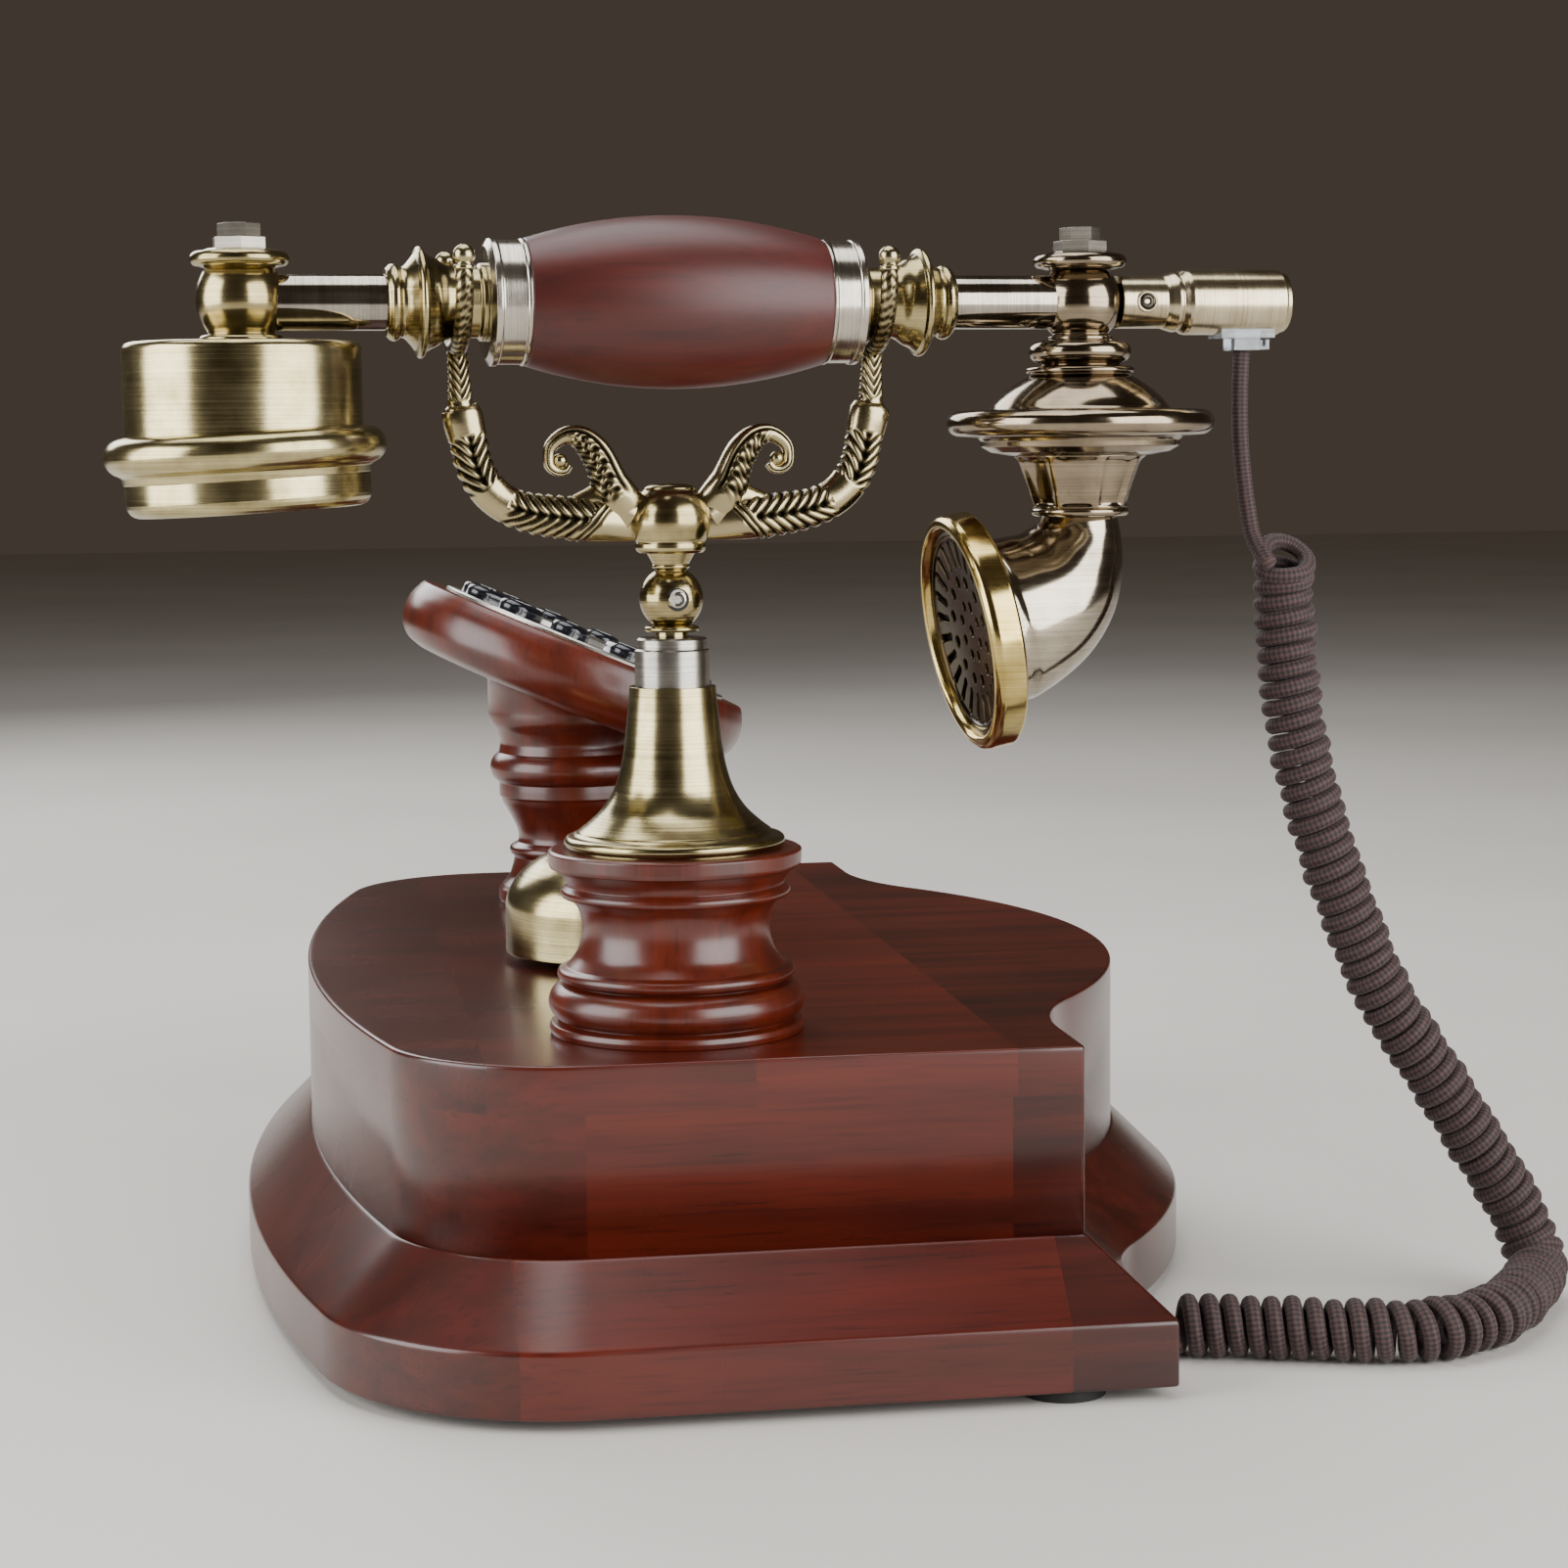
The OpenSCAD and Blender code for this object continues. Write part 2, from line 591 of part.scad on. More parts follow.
pin_r = 2;
stud_r = 3;
stud_top = hub_z - hub_r + 8;
module hook_plunger() {
    b = small_ball_z;
    color(brass) on_column() difference() {
        rotate_extrude() polygon(concat(
            [[0, rod_end], [rod_r, rod_end], [rod_r, plunger_seat], [rod_r + 2.2, plunger_seat],
             [rod_r + 2.2, plunger_seat + 1.4], [rod_r + 1, plunger_seat + 1.7]],
            arc([0, b], ball_r, -58, 62, 14),
            [[rod_r + 0.4, b + 8], [rod_r + 1.6, hub_z - hub_r + 0.6], [stud_r, hub_z - hub_r + 0.6],
             [stud_r, stud_top], [0, stud_top]]));
        translate([0, 0, b]) rotate([0, 90, 0]) cylinder(r = pin_r + fit, h = 3 * ball_r, center = true);
    }
}
module plunger_pin() {
    color(steel) on_column() translate([0, 0, small_ball_z]) rotate([0, 90, 0])
        cylinder(r = pin_r, h = 2 * ball_r + 0.4, center = true);
}

hub_flat = hub_r - 0.8;
module cradle_hub() {
    color(brass) on_column() translate([0, 0, hub_z]) difference() {
        rotate_extrude() polygon(concat(
            [[0, 0.6 - hub_r], [6.2, 0.6 - hub_r], [hub_r - 0.4, 3.4 - hub_r], [hub_r - 0.4, 4.6 - hub_r]],
            arc([0, 0], hub_r, -28, 42, 10),
            [[6.8, 6.9], [6.3, 8], [4.2, 8.8], [0, 9.1]]));
        for (s = [0, 180]) rotate([0, 0, s]) translate([-20, hub_flat, -20]) cube([40, 20, 40]);
        translate([0, 0, -hub_r - 1]) cylinder(r = stud_r + fit, h = 9.4);
    }
}

// The arm runs from the hub out along the bottom, up the side, and ends in the fork
arm_pts = [
    [hub_flat, hub_z, 6], [17, hub_z, 5.6], [24, hub_z - 0.6, 4.9], [32, hub_z, 4.2],
    [39.4, hub_z + 2, 3.9], [45, hub_z + 6.4, 4.2], [47.6, hub_z + 13.6, 4.4],
    [48.8, hub_z + 20.6, 4.8], [fork_off - 0.6, hub_z + 27.6, 3.8], [fork_off - 0.6, hub_z + 34, 2.9],
    [fork_off, saddle_z - fork_rod_r, 2.3]];
volute_pts = [
    [12.6, hub_z + 2.4, 5], [15, hub_z + 8.8, 4.5], [16.8, hub_z + 13.6, 3.5], [19.4, hub_z + 17.8, 2.7],
    [23.6, hub_z + 19.6, 2.1], [27.9, hub_z + 18.2, 1.9], [29.8, hub_z + 14.6, 1.8],
    [28, hub_z + 11.6, 1.7], [25.4, hub_z + 12.4, 1.8]];
module cradle_arm() {
    color(brass) union() {
        limb(arm_pts, 0.8);
        limb(volute_pts, 0.9);
        translate([0, 26.2, hub_z + 13.6]) sphere(r = 2.4, $fn = 24);
        translate([0, fork_off, saddle_z + fork_half - fork_rod_r]) {
            rotate([90, 0, 0]) rotate_extrude(angle = 180) rotate([0, 0, 180])
                translate([fork_half, 0]) circle(r = fork_rod_r, $fn = 24);
            for (s = [-1, 1]) translate([s * fork_half, 0, 0]) {
                cylinder(r = fork_rod_r, h = prong_h, $fn = 24);
                translate([0, 0, prong_h + 1.4]) sphere(r = tip_r, $fn = 24);
            }
        }
    }
}
module cradle_arm_ear() { on_column() cradle_arm(); }
module cradle_arm_mouth() { on_column() rotate([0, 0, 180]) cradle_arm(); }

// ---- handset -------------------------------------------------------------------------------

core_r = 5;
wire_hole_r = 2.5;
grip_curve_r = (grip_half * grip_half + pow(grip_mid_r - grip_end_r, 2)) / (2 * (grip_mid_r - grip_end_r));
grip_a = asin(grip_half / grip_curve_r);
module grip() {
    color(wood) along_handset() rotate_extrude() polygon(concat(
        [[core_r + fit, -grip_half], [grip_end_r - 1, -grip_half]],
        arc([grip_mid_r - grip_curve_r, 0], grip_curve_r, -grip_a, grip_a, 24),
        [[grip_end_r - 1, grip_half], [core_r + fit, grip_half]]));
}
module ferrules() {
    a = grip_half;
    b = neck_start;
    color(steel) along_handset() mirrored() rotate_extrude() polygon([
        [core_r + fit, a], [grip_end_r, a], [grip_end_r, a + 0.6], [grip_end_r - 0.4, a + 1],
        [grip_end_r - 0.4, b - 2.4], [grip_end_r + 0.1, b - 2], [grip_end_r - 0.3, b - 0.8],
        [grip_end_r - 2.2, b], [core_r + fit, b]]);
}
module handset_necks() {
    a = neck_start;
    f = flange_at;
    color(brass) along_handset() mirrored() rotate_extrude() polygon(concat(
        [[core_r + fit, a], [neck_r + 0.8, a], [neck_r + 0.8, a + 1.2], [neck_r, a + 1.8],
         [neck_r, a + 7.6], [neck_r + 0.6, a + 9.4], [neck_r + 1.8, f - 3.4], [neck_r + 2.4, f - 2.2]],
        arc([flange_r - 0.9, f], 0.9, -90, 80, 6),
        [[flange_r - 2.2, f + 1.2], [neck_r + 0.7, f + 2.6], [neck_r - 0.2, f + 3.6],
         [neck_r + 0.1, ring_start], [neck_r + 0.4, ring_start + 0.8], [neck_r + 0.4, ring_end - 0.8],
         [neck_r - 0.2, ring_end], [core_r + fit, ring_end]]));
}

socket_in = 5;
tube_end = span_half - socket_in - fit;
module handset_tube() {
    color(steel) along_handset() difference() {
        rotate_extrude() polygon([
            [0, -tube_end], [bar_r, -tube_end], [bar_r, -ring_end], [core_r, -ring_end],
            [core_r, ring_end], [bar_r, ring_end], [bar_r, tube_end], [0, tube_end]]);
        cylinder(r = wire_hole_r, h = 3 * span_half, center = true);
    }
}

// Heights relative to the handset's axis
ball_top = 7.9;
ball_low = -7.3;
ear_seat = -9;
function joint_profile(low) = concat(
    [[0, low], [9.6, low], [9.3, low + 1.1], [7.4, low + 1.7]],
    [for (i = [0:12]) let (t = i / 12)
        [7.4 + (joint_r - 7.4) * sin(180 * t), ball_low + (ball_top - ball_low) * t]],
    [[0, ball_top]]);
module joint_ball() {
    difference() {
        rotate_extrude() polygon(joint_profile(ear_seat));
        translate([0, 0, -20]) cylinder(r = wire_hole_r, h = 24);
    }
}
module joint_balls() {
    color(brass) {
        at_ear() difference() {
            joint_ball();
            rotate([90, 0, 0]) translate([0, 0, socket_in]) cylinder(r = bar_r + fit, h = 20);
        }
        at_mouth() difference() {
            joint_ball();
            for (s = [-90, 90]) rotate([s, 0, 0]) translate([0, 0, socket_in])
                cylinder(r = bar_r + fit, h = 20);
        }
    }
}
module finial() {
    z = ball_top;
    union() {
        rotate_extrude() polygon(concat(
            [[0, z], [8.4, z]], arc([finial_r - 1.6, z + 1.6], 1.6, -70, 70, 8),
            [[8.2, z + 3.6], [7.4, z + 4.3], [0, z + 4.3]]));
        translate([0, 0, z + 4]) cylinder(r = 6.7, h = 2.8, $fn = 6);
        translate([0, 0, z + 6]) rotate([0, 0, 15]) cylinder(r = 5, h = 4.1, $fn = 6);
    }
}
module finials() { color(brass) { at_ear() finial(); at_mouth() finial(); } }

// Earpiece: a drum, a slanted bezel and a cap; the slant raises the mouthpiece's side
bezel_z = ear_seat - drum_h;
module at_bezel() { at_ear() translate([0, 0, bezel_z]) rotate([-ear_slant, 0, 0]) children(); }
drum_wall = 2;
module ear_drum() {
    color(brass) difference() {
        at_ear() rotate_extrude() polygon(concat(
            [[wire_hole_r, ear_seat], [drum_r - 2, ear_seat]],
            arc([drum_r - 2, ear_seat - 2], 2, 80, 0, 5),
            [[drum_r, bezel_z - 4], [drum_r - drum_wall, bezel_z - 4],
             [drum_r - drum_wall, ear_seat - drum_wall], [wire_hole_r, ear_seat - drum_wall]]));
        at_bezel() translate([0, 0, -20]) cylinder(r = drum_r + 12, h = 20);
    }
}
bezel_h = 11;
bezel_in_r = 21;
module ear_bezel() {
    color(brass) at_bezel() rotate_extrude() polygon(concat(
        [[bezel_in_r, 0], [drum_r + 0.6, 0]],
        arc([bezel_r - 4.6, -4.4], 4.6, 80, -62, 10),
        [[drum_r + 2.2, -bezel_h + 1.4], [drum_r + 1.8, -bezel_h], [bezel_in_r, -bezel_h]]));
}
cap_h = 7.6;
module ear_cap() {
    r = drum_r + 0.8;
    z = -bezel_h;
    color(brass) at_bezel() difference() {
        rotate_extrude() polygon(concat(
            [[0, z], [r, z], [r, z - cap_h + 3]],
            arc([r - 3, z - cap_h + 3], 3, 0, -80, 5),
            [[r - 5, z - cap_h], [r - 9, z - cap_h + 1.6], [0, z - cap_h + 4.2]]));
        for (a = [0:60:300]) rotate([0, 0, a]) translate([8, 0, z - cap_h - 1]) cylinder(r = 1.2, h = cap_h + 2);
        translate([0, 0, z - cap_h - 1]) cylinder(r = 1.2, h = cap_h + 2);
    }
}
module receiver() {
    color([0.2, 0.2, 0.2]) at_bezel() union() {
        translate([0, 0, -bezel_h + fit]) cylinder(r = bezel_in_r - gap, h = bezel_h);
        translate([0, 0, fit]) cylinder(r = bezel_in_r + 2.4, h = 3);
    }
}

// Mouthpiece: stacked turned pieces under the second ball, all on the ball's axis
dome_h = 28.2;
cup_h = 15;
module mouth_dome() {
    z = ear_seat;
    color(brass) at_mouth() rotate_extrude() polygon(concat(
        [[wire_hole_r, z], [8.6, z]], arc([9.6, z - 3], 2.4, 80, -80, 8),
        [[9.2, z - 6], [12.6, z - 6.6], [13, z - 7.8]],
        spline([[12.4, z - 8.6], [15, z - 10.2], [17.8, z - 12.2], [20.2, z - 14.4], [22, z - 16.4]], 3),
        [[23.4, z - 17.2]],
        arc([saucer_r - saucer_edge, z - 20.3], saucer_edge, 88, -88, 8),
        [[24.4, z - 23.8], [23.6, z - 24.6], [22.4, z - 26], [16.4, z - dome_h], [wire_hole_r, z - dome_h]]));
}
module mouth_cup() {
    z = ear_seat - dome_h;
    color(brass) at_mouth() difference() {
        union() {
            translate([0, 0, z - cup_h + 2.4]) rotate([0, 0, 22.5])
                cylinder(r1 = 11.4, r2 = 16.2, h = cup_h - 2.4, $fn = 8);
            translate([0, 0, z - cup_h]) cylinder(r = 11.2, h = 2.6);
        }
        translate([0, 0, z - cup_h - 1]) cylinder(r = wire_hole_r + 2, h = cup_h + 2);
    }
}

// Elbow: each point is [along, height, radius] from the mouthpiece axis under the cup
elbow_top = ear_seat - dome_h - cup_h;
elbow_pts = [
    [0, elbow_top, 9.2], [0.1, elbow_top - 3.8, 10.6], [1.3, elbow_top - 8.4, 12.8], [3.9, elbow_top - 14, 15.4],
    [8.5, elbow_top - 19.1, 17.8], [14.5, elbow_top - 22.9, 19.5], [23.8, elbow_top - 27, 21.6]];
elbow_end = [elbow_pts[6][0], elbow_pts[6][1]];
elbow_dirs = [-90, -77, -64, -50.5, -36, -25, -mouth_slant];
elbow_wall = 2;
// Rings square to the direction given at each station, so that both ends are flat
function elbow_rings(shrink) = let (
        q = spline([for (i = [0:6]) concat(elbow_pts[i], elbow_dirs[i])], 3))
    [for (v = q) let (a = v[3], r = v[2] - shrink, u = [0, -sin(a), cos(a)])
        [for (k = [0:23]) let (t = 15 * k) [0, v[0], v[1]] + r * (cos(t) * [1, 0, 0] - sin(t) * u)]];
module mouth_elbow() {
    inner = elbow_rings(elbow_wall);
    far = [for (p = inner[len(inner) - 1]) p + 2 * [0, cos(mouth_slant), -sin(mouth_slant)]];
    near = [for (p = inner[0]) p + [0, 0, 2]];
    color(brass) at_mouth() difference() {
        skin(elbow_rings(0));
        skin(concat([near], inner, [far]));
    }
}

// The mouthpiece ring's frame: +Z points out of the mouthpiece, origin on the elbow's end
module at_ring() {
    at_mouth() translate([0, elbow_end[0], elbow_end[1]]) rotate([-90 - mouth_slant, 0, 0]) children();
}
grille_r = mouth_r - 4.6;
lip_r = grille_r - 6;
grille_back = 3;
grille_depth = 6.4;
grille_t = 1.6;
module mouth_ring() {
    color(brass) at_ring() rotate_extrude() polygon([
        [lip_r, 0], [mouth_r - 1.2, 0], [mouth_r, 1], [mouth_r, mouth_d - 3], [mouth_r - 1.6, mouth_d - 0.6],
        [mouth_r - 2.6, mouth_d], [grille_r + 0.8, mouth_d], [grille_r + fit, mouth_d - 0.8],
        [grille_r + fit, grille_back], [lip_r, grille_back]]);
}
// The grille is a shallow bowl with two rings of holes
dish_r = (lip_r * lip_r + grille_depth * grille_depth) / (2 * grille_depth);
dish_a = asin((lip_r - 1) / dish_r);
dish_z = grille_back + grille_t;
module mouth_grille() {
    c = dish_z + dish_r - grille_depth;
    color(brass) at_ring() difference() {
        rotate_extrude() polygon(concat(
            [[grille_r, grille_back], [grille_r, dish_z]],
            arc([0, c], dish_r, dish_a - 90, -90, 12),
            arc([0, c], dish_r + grille_t, -90, dish_a - 92, 12),
            [[lip_r - 0.3, grille_back]]));
        for (a = [0:45:315]) rotate([0, 0, a]) translate([6.5, 0, -12]) cylinder(r = 1.1, h = 20, $fn = 24);
        for (a = [15:30:345]) rotate([0, 0, a]) translate([12.5, 0, -12]) cylinder(r = 1.3, h = 20, $fn = 24);
    }
}
module microphone() {
    top = dish_z - grille_depth - grille_t;
    color([0.2, 0.2, 0.2]) at_ring() translate([0, 0, top - 6]) cylinder(r = 8, h = 5.8);
}

// Cord end: a stub in the mouthpiece ball, a flare, and the cap that holds the socket
end_jack_at = end_start + 17;
module end_cap() {
    color(brass) difference() {
        along_handset() rotate_extrude() polygon(concat(
            [[0, span_half + socket_in + fit], [bar_r, span_half + socket_in + fit], [bar_r, end_start - 5],
             [end_r - 0.8, end_start - 0.8], [end_r - 0.5, end_start], [end_r, end_start + 0.6]],
            arc([end_r - 1.6, end_tip - 1.6], 1.6, 0, 88, 5),
            [[0, end_tip]]));
        in_handset() translate([0, -end_jack_at, -end_r + 3.2])
            cube([jack_h + 2 * fit, jack_l + 2 * fit, 2 * jack_h], center = true);
        at_set_screw() cylinder(r = 1.9 + fit, h = 10);
    }
}
module at_set_screw() {
    in_handset() translate([0, -span_half - 15.2, 0]) rotate([0, -90, 0]) translate([0, 0, bar_r - 4])
        children();
}
module set_screw() {
    color(dark) at_set_screw() difference() {
        cylinder(r = 1.9, h = 3.6);
        for (a = [0, 90]) rotate([0, 0, a]) translate([-1.2, -0.25, 2.4]) cube([2.4, 0.5, 2]);
    }
}
jack_drop = end_r + 0.8;
module handset_jack() {
    color(clear) in_handset() translate([-jack_h / 2, -end_jack_at - jack_l / 2, -jack_drop]) difference() {
        cube([jack_h, jack_l, jack_h + 2]);
        translate([jack_h / 2 - socket_w / 2 - fit, jack_l / 2 - socket_h / 2 - fit, -1])
            cube([socket_w + 2 * fit, socket_h + 2 * fit, jack_h]);
    }
}

// ---- cord ----------------------------------------------------------------------------------

plug_l = 11;
plug_out = 3;
module plug() {
    color(clear) union() {
        translate([-socket_w / 2, -socket_h / 2, 0]) cube([socket_w, socket_h, plug_l]);
        translate([-1.6, -socket_h / 2 - 3.4, 0.2]) cube([3.2, 1, plug_out - 0.6]);
        translate([-1.6, -socket_h / 2 - 3.4, 0.2]) cube([3.2, 3.8, 0.8]);
    }
}
plug_at = end_jack_at;
module handset_plug() {
    in_handset() translate([0, -plug_at, -jack_drop - plug_out]) plug();
}
module base_plug() { translate(plug_face) rotate([-90, 0, 0]) plug(); }

// The lower end of the handset plug, where the lead leaves it
lead_top = [-column_off + (plug_at + handset_slip) * sin(cradle_turn),
    mid_y - (plug_at + handset_slip) * cos(cradle_turn), handset_z - jack_drop - plug_out];
// The lead hangs from the plug to the coil's top end
lead_shape = [
    [0, 0, 0], [0, 0, -1], [0, 0.4, -10], [0, 0.2, -22], [0, -1, -34], [0, -2.6, -44], [0, -4.6, -54]];
lead_route = [for (p = lead_shape) lead_top + p];
// Middle line of the coiled stretch: it hangs down, turns on the table and runs to the base
hang_shape = [
    [0, -10, -52], [0, -11, -60], [0, -13, -84], [0, -16.4, -103], [0, -22.4, -124], [0, -30.4, -145.4],
    [0, -39, -164.6]];
coil_route = concat([for (p = hang_shape) lead_top + p], [
    [-115, -185, 60], [-115, -197, 41], [-115, -207, 25], [-117, -212, 12.5], [-124, -211, 8.4],
    [-133, -205, 7.8], [-148, -195, 7.8], [-161, -183, 7.8], [-168, -170, 7.8], [-169, -159, 7.8],
    [-165, -144, 7.8], [-159, -126, 7.8], [-154, -110, 7.8]]);
// The tail runs from the coil into the base plug
plug_face = [-jack_x, mid_y + front_face + 0.4 - plug_out, jack_z];
tail_route = [[-154.4, -111, 7.8], [-153, -106.5, 8.2], plug_face - [0, 1, 0], plug_face];
module cord_lead() { color(cord_brown) cord_tube(lead_route, cord_d, 2); }
module cord_coil() { color(cord_brown) cord_tube(coil_route, coil_d, 2); }
module cord_tail() { color(cord_brown) cord_tube(tail_route, cord_d, 2); }

base_case();
base_plinth();
bottom_cover();
cover_screws();
rubber_feet();
main_board();
hook_switch();
base_jacks();
column_foot();
column_bell();
column_guide();
hook_spring();
ringer_gong();
gong_post();
dial_pedestal();
dial_disc();
dial_plate();
keypad_mat();
key(0);  // key_1
key(1);  // key_2
key(2);  // key_3
key(3);  // key_4
key(4);  // key_5
key(5);  // key_6
key(6);  // key_7
key(7);  // key_8
key(8);  // key_9
key(9);  // key_star
key(10);  // key_0
key(11);  // key_hash
hook_plunger();
plunger_pin();
cradle_hub();
cradle_arm_ear();
cradle_arm_mouth();
grip();
ferrules();
handset_necks();
handset_tube();
joint_balls();
finials();
ear_drum();
ear_bezel();
ear_cap();
receiver();
mouth_dome();
mouth_cup();
mouth_elbow();
mouth_ring();
mouth_grille();
microphone();
end_cap();
set_screw();
handset_jack();
handset_plug();
base_plug();
cord_lead();
cord_coil();
cord_tail();
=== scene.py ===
import bpy
import bmesh
import numpy as np
from mathutils import Matrix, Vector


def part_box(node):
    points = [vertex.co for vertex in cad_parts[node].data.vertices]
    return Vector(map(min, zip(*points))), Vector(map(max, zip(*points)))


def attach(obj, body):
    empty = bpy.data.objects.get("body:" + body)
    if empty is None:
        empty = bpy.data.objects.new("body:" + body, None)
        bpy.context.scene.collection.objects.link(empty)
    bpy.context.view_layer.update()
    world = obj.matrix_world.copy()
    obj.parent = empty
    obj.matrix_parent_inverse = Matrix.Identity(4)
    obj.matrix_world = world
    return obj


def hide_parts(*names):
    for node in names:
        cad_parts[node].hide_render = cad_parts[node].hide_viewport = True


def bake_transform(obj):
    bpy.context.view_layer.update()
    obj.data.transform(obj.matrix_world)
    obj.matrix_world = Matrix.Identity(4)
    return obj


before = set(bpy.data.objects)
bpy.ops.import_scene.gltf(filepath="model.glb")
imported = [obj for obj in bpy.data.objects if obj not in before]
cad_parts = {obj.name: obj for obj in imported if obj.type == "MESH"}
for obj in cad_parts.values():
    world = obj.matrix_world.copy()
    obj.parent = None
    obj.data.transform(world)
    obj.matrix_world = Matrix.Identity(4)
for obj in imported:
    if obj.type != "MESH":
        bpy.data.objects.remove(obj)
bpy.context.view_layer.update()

# Everything below is worked out in millimetres and turned to metres when a mesh is made.
MM = 0.001
TURN = 2 * np.pi


# ---- places, taken from the frame -------------------------------------------------------------

def middle(node):
    """The middle of a CAD node's box, in millimetres."""
    low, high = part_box(node)
    return (np.array(low) + np.array(high)) / 2 / MM


def bottom(node):
    """The lowest height of a CAD node, in millimetres."""
    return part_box(node)[0][2] / MM


def turn_about(axis, degrees):
    """The 3 by 3 matrix that turns a point about X, Y or Z."""
    return np.array(Matrix.Rotation(np.radians(degrees), 3, axis))


def inside(place, offset=(0, 0, 0), turn=None):
    """A place moved by an offset, then turned, inside another place."""
    return (place[0] @ (np.eye(3) if turn is None else turn), place[1] + place[0] @ np.array(offset, float))


def put(grid, place):
    """Points given in a place's own frame, as points of the scene."""
    return grid @ place[0].T + place[1]


CRADLE_TURN = 4.6   # degrees from the base's own direction
DIAL_TILT = 23.0
SPAN = 101.7        # from the grip's middle to each joint ball
case_top = bottom("column_foot")

# Each place is (turn matrix, origin). Column and cradle: +Y points to the earpiece, +Z up.
COLUMN, PEDESTAL, GONG = (
    (turn_about("Z", turn), np.array([*middle(node)[:2], case_top]))
    for node, turn in (("column_foot", CRADLE_TURN), ("dial_pedestal", 0), ("ringer_gong", 0)))
HANDSET = (COLUMN[0], np.array([*middle("grip")[:2], middle("handset_tube")[2]]))
# Along the handset: local +Z points to the mouthpiece
ALONG = (HANDSET[0] @ turn_about("X", 90), HANDSET[1])
EAR = inside(HANDSET, (0, SPAN, 0))
MOUTH = inside(HANDSET, (0, -SPAN, 0))
DIAL = inside(PEDESTAL, (0, -4, 79.7), turn_about("X", DIAL_TILT))


# ---- shapes on grids --------------------------------------------------------------------------

def unit(vectors):
    """The same directions with a length of 1."""
    return vectors / np.linalg.norm(vectors, axis=-1, keepdims=True)


def distances(path):
    """How far along a path each of its points lies."""
    return np.r_[0, np.cumsum(np.linalg.norm(np.diff(path, axis=0), axis=1))]


def angles(count):
    """Even angles round one turn."""
    return TURN * np.arange(count) / count


def curve(points, steps):
    """A smooth line through points: between two of them it is the cubic whose slope at each point
    is half the step between that point's neighbours."""
    p = np.array(points, float)
    q = np.vstack([p[:1], p, p[-1:]])
    t = (np.arange(steps) / steps)[:, None, None]
    a, b, c, d = q[:-3], q[1:-2], q[2:-1], q[3:]
    rows = b + 0.5 * t * (c - a + t * (2 * a - 5 * b + 4 * c - d + t * (3 * (b - c) + d - a)))
    return np.vstack([rows.transpose(1, 0, 2).reshape(-1, p.shape[1]), p[-1:]])


def arc(middle_point, radius, start, end, steps):
    """Points of an arc from one angle to another, in degrees."""
    t = np.radians(np.linspace(start, end, steps + 1))
    return np.array(middle_point, float) + radius * np.stack([np.cos(t), np.sin(t)], 1)


def parabola(a, corner, b, t):
    """The parabola from a to b whose sides meet at the corner."""
    return (1 - t) ** 2 * a + 2 * t * (1 - t) * corner + t * t * b


def rounded(points, size, closed=False, steps=4):
    """A line whose every corner is replaced by a small parabola that starts and ends `size` from it,
    or at 0.4 of a shorter side, and whose long straight stretches keep a point beside each corner."""
    p = np.array(points, float)
    before, after = (np.roll(p, 1, 0), np.roll(p, -1, 0)) if closed else (
        np.vstack([p[:1], p[:-1]]), np.vstack([p[1:], p[-1:]]))

    def towards(other, step, share):
        """Each corner moved towards a neighbour, by a step or by a share of a shorter side."""
        length = np.linalg.norm(other - p, axis=1, keepdims=True)
        return p + (other - p) / np.maximum(length, 1e-9) * np.minimum(step, share * length)

    a, b = (towards(other, size, 0.4)[:, None] for other in (before, after))
    near, far = (towards(other, 1.6 * size, 0.45)[:, None] for other in (before, after))
    bend = parabola(a, p[:, None], b, np.linspace(0, 1, steps + 1)[None, :, None])
    line = np.concatenate([near, bend, far], 1).reshape(-1, p.shape[1])
    if not closed:
        line = np.vstack([p[:1], line[steps + 3:-(steps + 3)], p[-1:]])
    return line[np.r_[True, np.linalg.norm(np.diff(line, axis=0), axis=1) > 1e-6]]


def turned(profile, place, corner, around, ring=False):
    """A profile of (radius, height) turned about the place's +Z. A ring's profile closes on itself."""
    line = rounded(profile, corner, closed=ring)
    r, t = line[:, :1], angles(around)
    grid = np.stack([r * np.cos(t), r * np.sin(t), line[:, 1:] * np.ones(around)], -1)
    return {"grid": put(grid, place), "ring": ring}


def frames_along(path, up):
    """Two directions square to a path that turn as little as they can from a reference direction."""
    way = unit(np.gradient(path, axis=0))
    side = unit(np.cross(np.array(up, float), way))
    return side, np.cross(way, side)


def swept(path, side_size, top_size, up, around, power, place, swell=None):
    """A closed section carried along a path: a circle stretched to two half sizes, whose sine and
    cosine are raised to `power`, and pushed outwards by swell(distance along, angle)."""
    side, top = frames_along(path, up)
    far, t = distances(path)[:, None], angles(around)
    c, s = (np.sign(f(t)) * np.abs(f(t)) ** power for f in (np.cos, np.sin))
    push, relief = (0, None) if swell is None else swell(far + 0 * t, t + 0 * far)
    a = np.reshape(side_size, (-1, 1)) + push
    b = np.reshape(top_size, (-1, 1)) + push
    grid = path[:, None] + (a * c)[..., None] * side[:, None] + (b * s)[..., None] * top[:, None]
    return {"grid": put(grid, place), "relief": relief, "cap": True}


def ball(centre, radius, place, around):
    """A sphere as a turned half circle."""
    return turned(arc((0, 0), radius, -90, 90, 16), inside(place, centre), 0.0, around)


